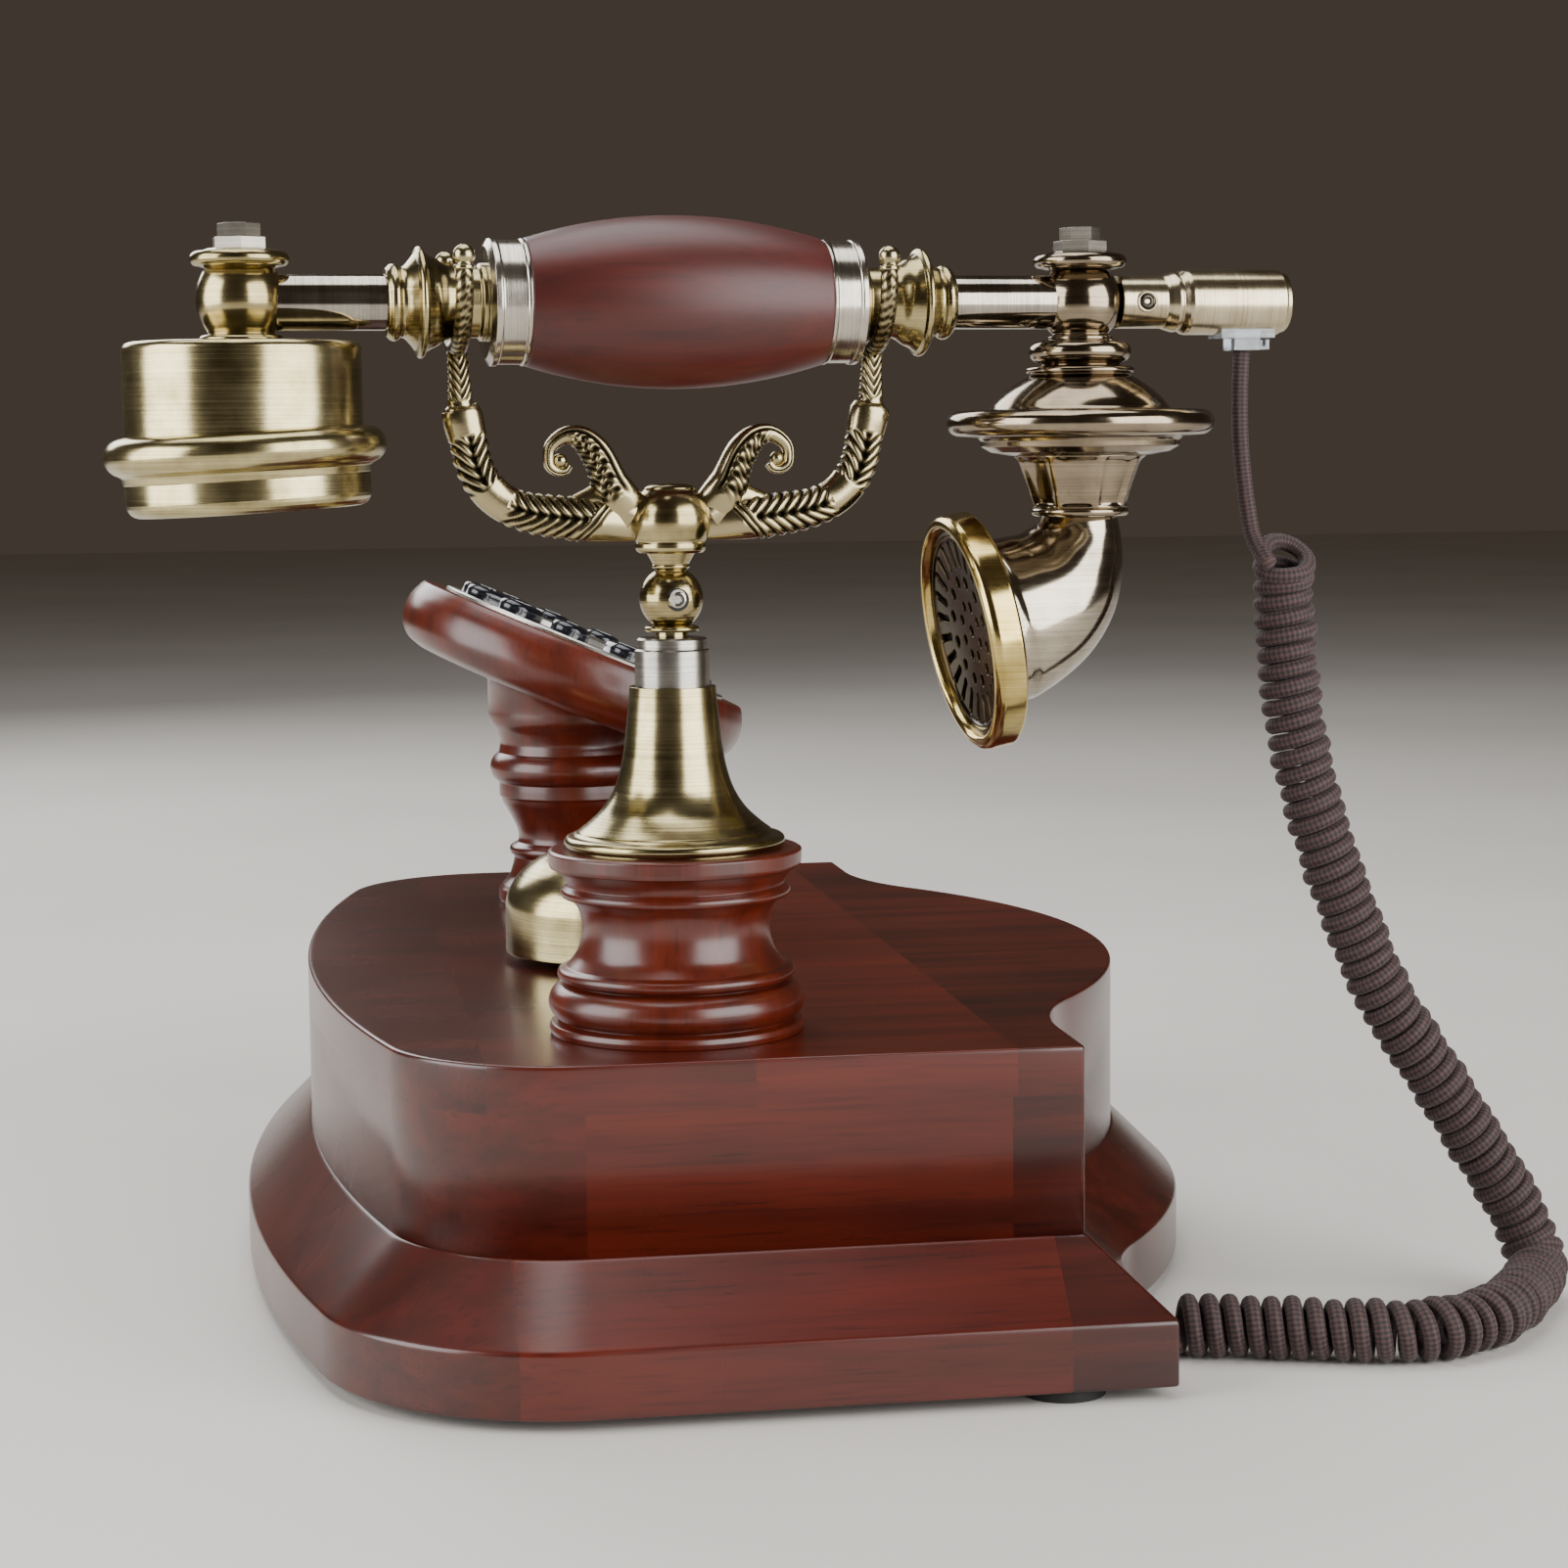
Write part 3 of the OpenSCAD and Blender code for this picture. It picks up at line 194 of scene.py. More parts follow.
def mesh_of(name, parts):
    """Joins grids into one mesh: quads between neighbouring points, each open end closed to its
    middle, doubles merged and faces turned outwards."""
    points, quads, relief, uv = [], [], [], []
    base = 0
    for part in parts:
        g, r = part["grid"], part.get("relief")
        r = np.ones(g.shape[:2]) if r is None else r
        if part.get("cap"):
            first, last = (0 * g[:1] + end.mean(1, keepdims=True) for end in (g[:1], g[-1:]))
            g, r = np.concatenate([first, g, last]), np.concatenate([r[:1], r, r[-1:]])
        rows, cols = g.shape[:2]
        i, j = np.indices((rows if part.get("ring") else rows - 1, cols))
        k, n = (i + 1) % rows, (j + 1) % cols
        corner = np.stack([i * cols + j, i * cols + n, k * cols + n, k * cols + j], -1).reshape(-1, 4)
        quads.append(corner + base)
        points.append(g.reshape(-1, 3))
        relief.append(r.reshape(-1))
        if "uv" in part:
            uv.append(part["uv"])
        base += rows * cols
    mesh = bpy.data.meshes.new(name)
    mesh.from_pydata(np.vstack(points) * MM, [], np.vstack(quads).tolist())
    shade = mesh.attributes.new("relief", "FLOAT", "POINT")
    shade.data.foreach_set("value", np.concatenate(relief).astype(np.float32))
    if uv:
        layer = mesh.uv_layers.new(name="UVMap")
        layer.uv.foreach_set("vector", np.vstack(uv).astype(np.float32).reshape(-1))
    bm = bmesh.new()
    bm.from_mesh(mesh)
    bmesh.ops.remove_doubles(bm, verts=bm.verts, dist=1e-6)
    bmesh.ops.dissolve_degenerate(bm, edges=bm.edges, dist=1e-7)
    bmesh.ops.recalc_face_normals(bm, faces=bm.faces)
    bm.to_mesh(mesh)
    bm.free()
    mesh.polygons.foreach_set("use_smooth", np.ones(len(mesh.polygons), bool))
    return mesh


def in_scene(name, data):
    """A new object in the scene."""
    obj = bpy.data.objects.new(name, data)
    bpy.context.scene.collection.objects.link(obj)
    return obj


def matrix_of(turn, origin):
    """A turn and an origin in metres, as Blender's matrix."""
    matrix = np.eye(4)
    matrix[:3, :3], matrix[:3, 3] = turn, origin
    return Matrix(matrix.tolist())


def piece(name, parts, finish, body, *nodes):
    """One dressed piece: its mesh, its finish, the body it rides on and the CAD nodes it replaces."""
    obj = in_scene(name, mesh_of(name, parts))
    obj.data.materials.append(finish)
    if nodes:
        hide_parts(*nodes)
    if body:
        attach(obj, body)
    return obj


# ---- finishes ---------------------------------------------------------------------------------

def tint(colour):
    """An sRGB hex colour as linear values."""
    c = np.array([int(colour[i:i + 2], 16) for i in (1, 3, 5)]) / 255
    return (*np.where(c <= 0.04045, c / 12.92, ((c + 0.055) / 1.055) ** 2.4), 1.0)


def settle(tree, node, settings=None, links=None):
    """Sets a node's properties, its sockets' values and its ramp's stops, and links its inputs to
    sockets or to the first output of other nodes."""
    for key, value in (settings or {}).items():
        if key == "stops":
            elements = node.color_ramp.elements
            while len(elements) < len(value):
                elements.new(0.5)
            for element, (at, colour) in zip(elements, value):
                element.position = at
                element.color = tint(colour) if isinstance(colour, str) else (colour, colour, colour, 1)
        elif isinstance(key, str) and hasattr(node, key):
            setattr(node, key, value)
        else:
            node.inputs[key].default_value = tint(value) if isinstance(value, str) else value
    for key, source in (links or {}).items():
        tree.links.new(source.outputs[0] if isinstance(source, bpy.types.Node) else source, node.inputs[key])
    return node


def add(tree, kind, settings=None, links=None):
    """Adds a node and settles it."""
    return settle(tree, tree.nodes.new("ShaderNode" + kind), settings, links)


def maths(tree, operation, source, second=None, third=None):
    """Adds a maths node; its second and third inputs are a number, or another node for the second."""
    numbers = {k: v for k, v in ((1, second), (2, third)) if isinstance(v, (int, float))}
    links = {0: source} if second is None or 1 in numbers else {0: source, 1: second}
    return add(tree, "Math", {"operation": operation, **numbers}, links)


def noise(tree, place, scale, detail=2.0, **more):
    """Adds a noise texture; a scale of s puts its clouds about 1/s metres apart."""
    return add(tree, "TexNoise", {"Scale": scale, "Detail": detail, **more}, {"Vector": place})


def scaled(tree, place, scale):
    """Adds a mapping that stretches a place along its three directions."""
    return add(tree, "Mapping", {"Scale": scale}, {0: place})


def ramp(tree, source, *stops):
    """Adds a ramp from one colour, or grey value, to the next."""
    return add(tree, "ValToRGB", {"stops": stops}, {0: source})


def between(tree, source, low, high):
    """Adds a range that takes 0 to 1 to two other values."""
    return add(tree, "MapRange", {3: low, 4: high}, {0: source})


def new_finish(name):
    """An empty material: its tree, its Principled shader and the place that patterns start from."""
    material = bpy.data.materials.new(name)
    material.use_nodes = True
    tree = material.node_tree
    tree.nodes.clear()
    shader = add(tree, "BsdfPrincipled")
    add(tree, "OutputMaterial", links={0: shader})
    return material, tree, shader, add(tree, "TexCoord").outputs["Object"]


def varnished_wood(name, dark, light, along, seams=None, gloss=0.24, coat=0.3):
    """Mahogany-stained hardwood under satin lacquer: streaks 1 to 8 mm wide run along the grain,
    fine dark pores lie between them, and the lacquer adds a clear, soft-edged highlight."""
    material, tree, shader, place = new_finish(name)
    stretch = {"Y": (120, 6, 120), "Z": (120, 120, 6)}[along]
    if seams:
        # Glued boards 62 mm wide on top; the walls show a lighter panel between two upright seams.
        # The boards are numbered 5 to 9 from front to back; the panel is 7, its neighbours 8 and 9
        board_w, top_from, panel = 0.062, 0.0695, 7.0
        seam_back, seam_front = seams
        xyz = add(tree, "SeparateXYZ", links={0: place})
        row = maths(tree, "MULTIPLY_ADD", xyz.outputs[1], 1 / board_w, 8 + 0.001 / board_w)
        back = maths(tree, "GREATER_THAN", xyz.outputs[1], seam_back)
        front = maths(tree, "LESS_THAN", xyz.outputs[1], seam_front)
        wall = maths(tree, "ADD", maths(tree, "MULTIPLY_ADD", front, 2.0, panel), back)
        high = maths(tree, "GREATER_THAN", xyz.outputs[2], top_from)
        board = add(tree, "Mix", {}, {0: high, 2: wall, 3: maths(tree, "FLOOR", row)})
        chance = add(tree, "TexWhiteNoise", {"noise_dimensions": "1D"}, {"W": board})
        place = add(tree, "VectorMath", {"operation": "MULTIPLY_ADD", 1: (0.3, 0.3, 0.3)},
                    {0: chance.outputs["Color"], 2: place})
    wave = noise(tree, scaled(tree, place, stretch), 1.0, 5.0, Roughness=0.6, Distortion=0.4)
    pores = noise(tree, scaled(tree, place, tuple(7 * s for s in stretch)), 1.0)
    cloud = noise(tree, place, 14.0)
    level = add(tree, "Mix", {0: 0.35}, {2: wave, 3: cloud})
    if seams:
        # The panel between the seams is the lightest, as cos(0)
        tone = maths(tree, "COSINE", maths(tree, "MULTIPLY_ADD", board, 1.98, -panel * 1.98))
        level = maths(tree, "ADD", level, maths(tree, "MULTIPLY_ADD", tone, 0.1, -0.02))
    colour = ramp(tree, level, (0.28, dark), (0.72, light))
    pore = ramp(tree, pores, (0.30, 0.62), (0.46, 1.0))
    final = add(tree, "Mix", {"data_type": "RGBA", "blend_type": "MULTIPLY", 0: 0.8}, {6: colour, 7: pore})
    rough = between(tree, cloud, gloss - 0.03, gloss + 0.09)
    bump = add(tree, "Bump", {"Strength": 0.08, "Distance": 0.0002}, {"Height": wave})
    settle(tree, shader, {"Coat Weight": coat, "Coat Roughness": 0.8 * gloss, "IOR": 1.5},
           {"Base Color": final.outputs[2], "Roughness": rough, "Normal": bump})
    return material


def spun_metal(name, dark, light, rough, lines="Z", depth=0.12):
    """Turned metal with a thin antique patina: very fine tool lines run round the turning axis, and
    the colour and gloss change a little in clouds 5 to 20 mm across."""
    material, tree, shader, place = new_finish(name)
    # Lines 0.25 mm apart; finer real ones would not show
    stretch = {"Y": (20, 4000, 20), "Z": (20, 20, 4000)}[lines]
    fine = noise(tree, scaled(tree, place, stretch), 1.0)
    cloud = noise(tree, place, 90.0, 4.0, Roughness=0.6)
    mixed = add(tree, "Mix", {0: 0.45}, {2: cloud, 3: fine})
    colour = ramp(tree, mixed, (0.30, dark), (0.62, light))
    gloss = between(tree, mixed, rough - 0.06, rough + 0.08)
    bump = add(tree, "Bump", {"Strength": depth, "Distance": 0.00005}, {"Height": fine})
    settle(tree, shader, {"Metallic": 1.0}, {"Base Color": colour, "Roughness": gloss, "Normal": bump})
    return material


def cast_metal(name, oxide_and_shade, dark, light):
    """Cast antique brass: its colour follows a shade value worked out from the relief, so dark oxide and
    painted shade fill the recesses, and its tops are rubbed bright; the skin is slightly grainy."""
    material, tree, shader, place = new_finish(name)
    relief = add(tree, "Attribute", {"attribute_name": "relief"}).outputs["Fac"]
    soft = maths(tree, "MULTIPLY_ADD", noise(tree, place, 160.0, 3.0), 0.5, -0.25)
    level = maths(tree, "ADD", relief, soft)
    # The darkest stop is painted shade in the grooves and gaps of the relief, laid over the oxide there.
    colour = ramp(tree, level, (0.2, oxide_and_shade), (0.55, dark), (0.92, light))
    gloss = between(tree, level, 0.5, 0.2)
    grain = noise(tree, place, 900.0, 3.0)
    bump = add(tree, "Bump", {"Strength": 0.15, "Distance": 0.0001}, {"Height": grain})
    settle(tree, shader, {"Metallic": 1.0}, {"Base Color": colour, "Roughness": gloss, "Normal": bump})
    return material


def moulded(name, colour, rough, coat=0.0):
    """Moulded plastic or rubber: one colour, with a very fine sparkle of the mould's texture."""
    material, tree, shader, place = new_finish(name)
    grain = noise(tree, place, 700.0)
    gloss = between(tree, grain, rough - 0.05, rough + 0.08)
    bump = add(tree, "Bump", {"Strength": 0.06, "Distance": 0.0001}, {"Height": grain})
    settle(tree, shader, {"Base Color": colour, "Coat Weight": coat}, {"Roughness": gloss, "Normal": bump})
    return material


def braided_thread(name, dark, light, strands=8, step=2.0):
    """Braided cotton-look sleeve: strands cross at a slant, each crossing 1 mm long; the colour follows the
    weave's height, with painted shade between threads and pale painted highlights where a thread comes up.
    Reads the piece's UV map: turns around, millimetres along."""
    material, tree, shader, place = new_finish(name)
    uv = add(tree, "SeparateXYZ", links={0: add(tree, "UVMap", {"uv_map": "UVMap"})})
    around = maths(tree, "MULTIPLY", uv.outputs[0], TURN * strands / 2)
    along = maths(tree, "MULTIPLY", uv.outputs[1], TURN / step)
    waves = [maths(tree, "SINE", maths(tree, kind, around, along)) for kind in ("ADD", "SUBTRACT")]
    height = add(tree, "MapRange", {1: -1.0, 2: 1.0}, {0: maths(tree, "MULTIPLY", *waves)})
    mixed = add(tree, "Mix", {0: 0.35}, {2: height, 3: noise(tree, place, 1100.0)})
    # Painted shade and highlight: dark in the weave's dips, pale on its crests, with random tone mixed in.
    colour = ramp(tree, mixed, (0.25, dark), (0.75, light))
    bump = add(tree, "Bump", {"Strength": 0.7, "Distance": 0.0003}, {"Height": mixed})
    settle(tree, shader, {"Roughness": 0.72, "Sheen Weight": 0.08}, {"Base Color": colour, "Normal": bump})
    return material


def clear_plastic(name):
    """Clear polycarbonate: mostly see-through, with a bright skin reflection."""
    material, tree, shader, place = new_finish(name)
    gloss = between(tree, noise(tree, place, 300.0), 0.05, 0.16)
    settle(tree, shader, {"Base Color": "#dfe6ec", "Transmission Weight": 0.75, "IOR": 1.49},
           {"Roughness": gloss})
    return material


case_wood = varnished_wood("mahogany_boards_satin_lacquer", "#2a0a06", "#5e1d0e", "Y", (0.0387, -0.0617))
plinth_wood = varnished_wood("mahogany_moulding_satin_lacquer", "#280a06", "#561a0e", "Y", (0.056, -0.0716))
turned_wood = varnished_wood(
    "mahogany_turned_gloss_lacquer", "#300b05", "#68220c", "Z", gloss=0.28, coat=0.35)
grip_wood = varnished_wood("mahogany_grip_satin_lacquer", "#300906", "#55150c", "Y", gloss=0.4, coat=0.12)
drum_brass = spun_metal("antique_brass_brushed_drum", "#74683f", "#c6b98c", 0.2)
bell_brass = spun_metal("antique_brass_spun_bell", "#706440", "#c0b386", 0.2)
ball_brass = spun_metal("antique_brass_polished_ball", "#6e6240", "#b8a97c", 0.18, depth=0.05)
ring_brass = spun_metal("polished_brass_ring", "#a08844", "#dcc684", 0.14, depth=0.04)
end_brass = spun_metal("antique_brass_brushed_end_cap", "#8d7f62", "#ccbfa0", 0.2, "Y")
gunmetal = spun_metal("gunmetal_nickel_polished_bar", "#7d776e", "#b5ada0", 0.1, "Y", depth=0.03)
gunmetal_turned = spun_metal("gunmetal_nickel_polished_turned", "#685c4c", "#9c8e78", 0.13, depth=0.03)
elbow_metal = spun_metal("gunmetal_nickel_polished_elbow", "#837a69", "#b9af9c", 0.11, depth=0.02)
satin_nickel = spun_metal("satin_nickel_brushed_ferrule", "#908a7f", "#cdc6b9", 0.18, "Y")
collar_steel = spun_metal("satin_steel_brushed_collar", "#77746d", "#b3afa6", 0.24)
dark_steel = spun_metal("blackened_steel_screw", "#26221e", "#4a443c", 0.25, depth=0.04)
nut_steel = spun_metal("satin_steel_machined_nut", "#8a857b", "#b9b3a7", 0.34, depth=0.04)
# The grille dish is brass, coloured near black: painted shade, as it sits inside the ring.
grille_metal = cast_metal("pressed_grille_gloss_painted_shade", "#020202", "#1d1812", "#3a3020")
cast_brass = cast_metal("cast_brass_oxide_and_painted_shade", "#0b0906", "#463d29", "#aa9d78")
plate_metal = spun_metal("satin_aluminium_dial_plate", "#8e8c86", "#c9c6be", 0.3, depth=0.05)
key_plastic = moulded("gloss_black_key", "#10131c", 0.2, 0.5)
key_paint = moulded("pale_key_figures", "#d9dde0", 0.4)
foot_rubber = moulded("black_rubber_foot", "#121212", 0.7)
dark_plastic = moulded("black_moulded_plastic", "#17171a", 0.45)
green_board = moulded("green_circuit_board", "#1b5a35", 0.4)
mat_rubber = moulded("grey_silicone_mat", "#4b4b50", 0.7)
bottom_board = moulded("black_painted_board", "#1a1714", 0.6)
cord_braid = braided_thread("brown_braided_cord", "#0e0809", "#4a3231")
plug_plastic = clear_plastic("clear_modular_plug")

CAD_FINISHES = [
    (bottom_board, "bottom_cover"), (foot_rubber, "rubber_feet"), (green_board, "main_board"),
    (collar_steel, "cover_screws", "hook_spring", "plunger_pin", "gong_post", "column_guide"),
    (dark_plastic, "hook_switch", "base_jacks", "receiver", "microphone"), (mat_rubber, "keypad_mat"),
    (plug_plastic, "handset_jack", "handset_plug", "base_plug"), (plate_metal, "dial_plate"),
    (drum_brass, "ear_cap")]
for finish, *nodes in CAD_FINISHES:
    for node in nodes:
        for material_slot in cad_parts[node].material_slots:
            material_slot.material = finish


# ---- camera -----------------------------------------------------------------------------------

camera_data = bpy.data.cameras.new("camera")
camera_data.lens = 74.16
camera_data.sensor_width = 36.0
camera_data.clip_start = 0.02
camera = in_scene("camera", camera_data)
looks = np.array([0.98175624, -0.15761335, -0.10636124])
rightwards = np.array([-0.15958737, -0.98713052, -0.01025706])
upwards = np.array([0.10337578, -0.02704384, 0.99427465])
# The camera's place, measured from the column's axis at the case's top
stand = np.array([-769.28, 96.60, 142.33]) + COLUMN[1]
camera.matrix_world = matrix_of(np.stack([rightwards, upwards, -looks], 1), stand * MM)
bpy.context.scene.camera = camera


# ---- cord -------------------------------------------------------------------------------------

CORD_D = 4.2
COIL_D = 15.5
PLUG_REACH = 145.5      # from the column's axis to the plug
HANG_PITCH = 4.35
FLOOR_PITCH = 5.0
POINTS_A_TURN = 20
lead_top = inside(COLUMN, (0, -PLUG_REACH, bottom("handset_plug") - case_top))[1]
lead_shape = [[0, 0, 0], [0, 0.4, -10], [0, 0.2, -22], [0, -1, -34], [0, -2.6, -44]]
hang_shape = [
    [-5, -10.6, -50], [-2.2, -10.6, -53.4], [-0.4, -11, -60], [0, -13, -84], [0, -16.4, -103],
    [0, -22.4, -124], [0, -30.4, -145.4], [0, -39, -164.6]]
floor_route = [
    [-115, -185, 60], [-115, -197, 41], [-115, -207, 25], [-117, -212, 12.5], [-124, -211, 8.4],
    [-133, -205, 7.8], [-148, -195, 7.8], [-161, -183, 7.8], [-168, -170, 7.8], [-169, -159, 7.8],
    [-165, -144, 7.8], [-158, -124, 7.8], [-152.5, -105.5, 7.8]]
plug_face = np.array([middle("base_plug")[0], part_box("base_plug")[0][1] / MM, bottom("base_plug") + 3.3])


def bridge(a, along_a, b, along_b):
    """The cubic from a to b that leaves and arrives along the given vectors."""
    t = np.linspace(0, 1, 11)[1:-1, None]
    leave, arrive = 3 * t * (1 - t) ** 2 * (a + along_a), 3 * t * t * (1 - t) * (b - along_b)
    return (1 - t) ** 3 * a + leave + arrive + t ** 3 * b


def coil_line():
    """The cord's whole middle line: down the lead, round the coil's helix, whose turns are counted
    from the pitch at each height, and along the tail into the base."""
    axis = curve(np.vstack([lead_top + np.array(hang_shape), floor_route]), 40)
    hanging = np.clip((axis[1:, 2] - 8) / 16, 0, 1)
    pitch = FLOOR_PITCH + (HANG_PITCH - FLOOR_PITCH) * hanging
    turns = np.r_[0, np.cumsum(np.linalg.norm(np.diff(axis, axis=0), axis=1) / pitch)]
    at = np.linspace(0, turns[-1], int(turns[-1] * POINTS_A_TURN))
    line = np.stack([np.interp(at, turns, axis[:, k]) for k in range(3)], 1)
    # The coil bends in the plane square to X while it hangs, and about Z on the table
    side, top = frames_along(line, (1, 0.02, 0.01))
    reach = (COIL_D - CORD_D) / 2 + (0.25 * np.sin(at * 1.7) + 0.15 * np.sin(at * 4.3))[:, None]
    angle = (TURN * at - TURN * 0.25)[:, None]
    coil = line + reach * (np.cos(angle) * side + np.sin(angle) * top)
    coil[:, 2] = np.maximum(coil[:, 2], CORD_D / 2 + 0.05)
    lead = curve(lead_top + np.array(lead_shape), 10)
    start, stop = coil[4:6], coil[-6:-4]
    tail = np.linspace(plug_face - (0, 2.5, 0.1), plug_face, 3)
    into_coil = bridge(lead[-1], 5 * unit(lead[-1] - lead[-2]), start[0], 5 * unit(start[1] - start[0]))
    into_tail = bridge(stop[1], 5 * unit(stop[1] - stop[0]), tail[0], np.array([0, 4.0, 0.4]))
    return np.vstack([lead, into_coil, coil[4:-4], into_tail, tail])


def round_tube(path, radius, around=12):
    """A round section carried along a path with no twist: each section's directions are the last
    one's, turned by the bend between them."""
    way = unit(np.gradient(path, axis=0))
    side = np.empty_like(way)
    side[0] = unit(np.cross((0, 0.3, 1.0), way[0]))
    for k in range(1, len(path)):
        side[k] = unit(side[k - 1] - way[k] * (side[k - 1] @ way[k]))
    top = np.cross(way, side)
    t = angles(around)[None, :, None]
    grid = path[:, None] + radius * (np.cos(t) * side[:, None] + np.sin(t) * top[:, None])
    u, far = np.arange(around + 1) / around, distances(path)
    corner = np.stack([np.stack(np.broadcast_arrays(a, b[:, None]), -1) for a, b in (
        (u[:-1], far[:-1]), (u[1:], far[:-1]), (u[1:], far[1:]), (u[:-1], far[1:]))], 2).reshape(-1, 2)
    cap = np.zeros((around * 4, 2))
    return {"grid": grid, "cap": True, "uv": np.vstack([cap, corner, cap])}, far[-1]


cord_path = coil_line()
tube, cord_length = round_tube(cord_path, CORD_D / 2)
cord = piece("handset_cord", [tube], cord_braid, None, "cord_lead", "cord_coil", "cord_tail")
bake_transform(cord)


# ---- base -------------------------------------------------------------------------------------

CASE_HALF = 170.0
CASE_FRONT = 91.0
LOBE_REACH = 136.0
CASE_BACK = 87.0
COVE_R = 75.0
BACK_R = 560.0
CORNER_R = 45.0
FRONT_FLAT = 25.0


def base_outline(grow, soft=1.2):
    """The plan of the base grown outwards: two flats, two coves and a lobe in front, tangent to
    each other, straight sides, and a shallow arc between round corners behind."""
    cove_x, sag = CASE_HALF - FRONT_FLAT, LOBE_REACH - CASE_FRONT
    lobe_r = (cove_x ** 2 + sag ** 2) / (2 * sag) - COVE_R
    cove_y, lobe_y = -CASE_FRONT - COVE_R, lobe_r - LOBE_REACH
    cove_a = np.degrees(np.arctan2(lobe_y - cove_y, cove_x))
    corner_x, back_y = CASE_HALF - CORNER_R, CASE_BACK - BACK_R
    corner_y = back_y + np.sqrt((BACK_R - CORNER_R) ** 2 - corner_x ** 2)
    corner_a = np.degrees(np.arctan2(corner_y - back_y, corner_x))
    half, front = CASE_HALF + grow, -CASE_FRONT - grow

    tip = np.array([half, front])
    front_corner = parabola(tip - (soft, 0), tip, tip + (0, soft), np.linspace(0, 1, 5)[:, None])
    side = np.linspace(front + 1.5 * soft, corner_y, 12)[1:-1]
    flat = np.linspace(half - 1.5 * soft, cove_x, 5)[1:-1]
    right = np.vstack([
        np.stack([flat[::-1], 0 * flat + front], 1), front_corner, np.stack([0 * side + half, side], 1),
        arc((corner_x, corner_y), CORNER_R + grow, 0, corner_a, 24)])
    middle_arc = arc((0, back_y), BACK_R + grow, corner_a, 180 - corner_a, 40)[1:-1]
    left = (right * (-1, 1))[::-1]
    lobe = np.vstack([
        arc((-cove_x, cove_y), COVE_R - grow, 90, cove_a, 24),
        arc((0, lobe_y), lobe_r + grow, 180 + cove_a, 360 - cove_a, 60)[1:-1],
        arc((cove_x, cove_y), COVE_R - grow, 180 - cove_a, 90, 24)])
    return np.vstack([right, middle_arc, left, lobe]) + (0, COLUMN[1][1])


def stacked(levels, ring=False):
    """Outlines of the base at (growth, height) levels, one above the other."""
    rows = [np.insert(base_outline(grow), 2, z, axis=1) for grow, z in levels]
    return {"grid": np.array(rows), "ring": ring, "cap": not ring}


plinth_low = bottom("base_plinth")
plinth_top = bottom("base_case")
band_top = plinth_low + 15.5
piece("base_plinth_moulding", [stacked(rounded([
    (-12, plinth_low), (18, plinth_low), (18, band_top), (0.4, plinth_top - 0.2), (-0.2, plinth_top),
    (-12, plinth_top)], 0.7, closed=True), ring=True)], plinth_wood, "base", "base_plinth")
case_rows = rounded([(0, plinth_top), (0, case_top), (-6, case_top)], 0.9)
piece("base_case_boards", [stacked(case_rows)], case_wood, "base", "base_case")

# ---- column -----------------------------------------------------------------------------------

foot_line = np.vstack([
    [(0, 0), (30.6, 0), (31, 1.4), (30.6, 2.6), (29.2, 3.0)],
    arc((26.4, 7.6), 4.7, -66, 66, 14),
    [(26.4, 12.3), (27.8, 12.9)], arc((27.4, 14.4), 1.5, -60, 60, 6),
    curve([(26.6, 16.2), (24.2, 19.2), (22.9, 23.2), (22.8, 27), (23.8, 30.4), (25.6, 32.6)], 6),
    arc((26.4, 34.0), 1.4, -50, 60, 6),
    curve([(26.3, 35.9), (27.2, 37.8), (28.8, 39.4), (30.3, 40.2)], 5),
    [(30.6, 41), (30.7, 44), (29.9, 44.5), (0, 44.5)]])
piece("column_foot_turned", [turned(foot_line, COLUMN, 0.25, 128)], turned_wood, "base", "column_foot")
bell_line = np.vstack([
    [(0, 44.5), (25.6, 44.5)], arc((25.2, 46.2), 1.5, -80, 80, 8), [(24.4, 47.9), (23.6, 48.4)],
    curve([(23.3, 48.8), (20.6, 50.9), (17.4, 54), (14.8, 58), (13.1, 62.6), (12.0, 68), (11.3, 74),
           (10.7, 79.6), (10.4, 83.5)], 8),
    [(0, 83.5)]])
piece("column_bell_skirt", [turned(bell_line, COLUMN, 0.2, 128)], bell_brass, "base", "column_bell")

# ---- gong -------------------------------------------------------------------------------------

gong_line = np.vstack([
    [(31.4, 2.5), (33, 2.5)], arc((0, 0), 1, 0, 85, 36) * (33, 19) + (0, 14.5), [(2.4, 33.4), (2.4, 32)],
    arc((0, 0), 1, 85, 0, 30) * (31.4, 17.4) + (0, 14.5)])
piece("ringer_gong_dome", [turned(gong_line, GONG, 0.3, 128, ring=True)], bell_brass, "base", "ringer_gong")

# ---- dial -------------------------------------------------------------------------------------

pedestal_line = np.vstack([
    [(0, 0), (23.2, 0), (23.6, 1), (23.6, 4), (23, 4.8)],
    curve([(22.6, 5.4), (20.4, 8), (19.3, 11), (18.6, 14)], 5), arc((18.4, 16.2), 1.7, -70, 70, 8),
    curve([(17.5, 18.6), (17.2, 20.4), (17.8, 23.2), (19.6, 27), (21.6, 30.6), (22.4, 32.6)], 5),
    [(22.9, 33.2), (22.9, 35.4)], arc((20.4, 42), 5.2, -62, 62, 14),
    curve([(22.6, 48), (22.4, 50), (23.6, 53.4), (25.6, 56.4), (26, 60)], 5)])
neck = turned(np.vstack([pedestal_line, [(26, 62), (0, 62)]]), PEDESTAL, 0.2, 96)
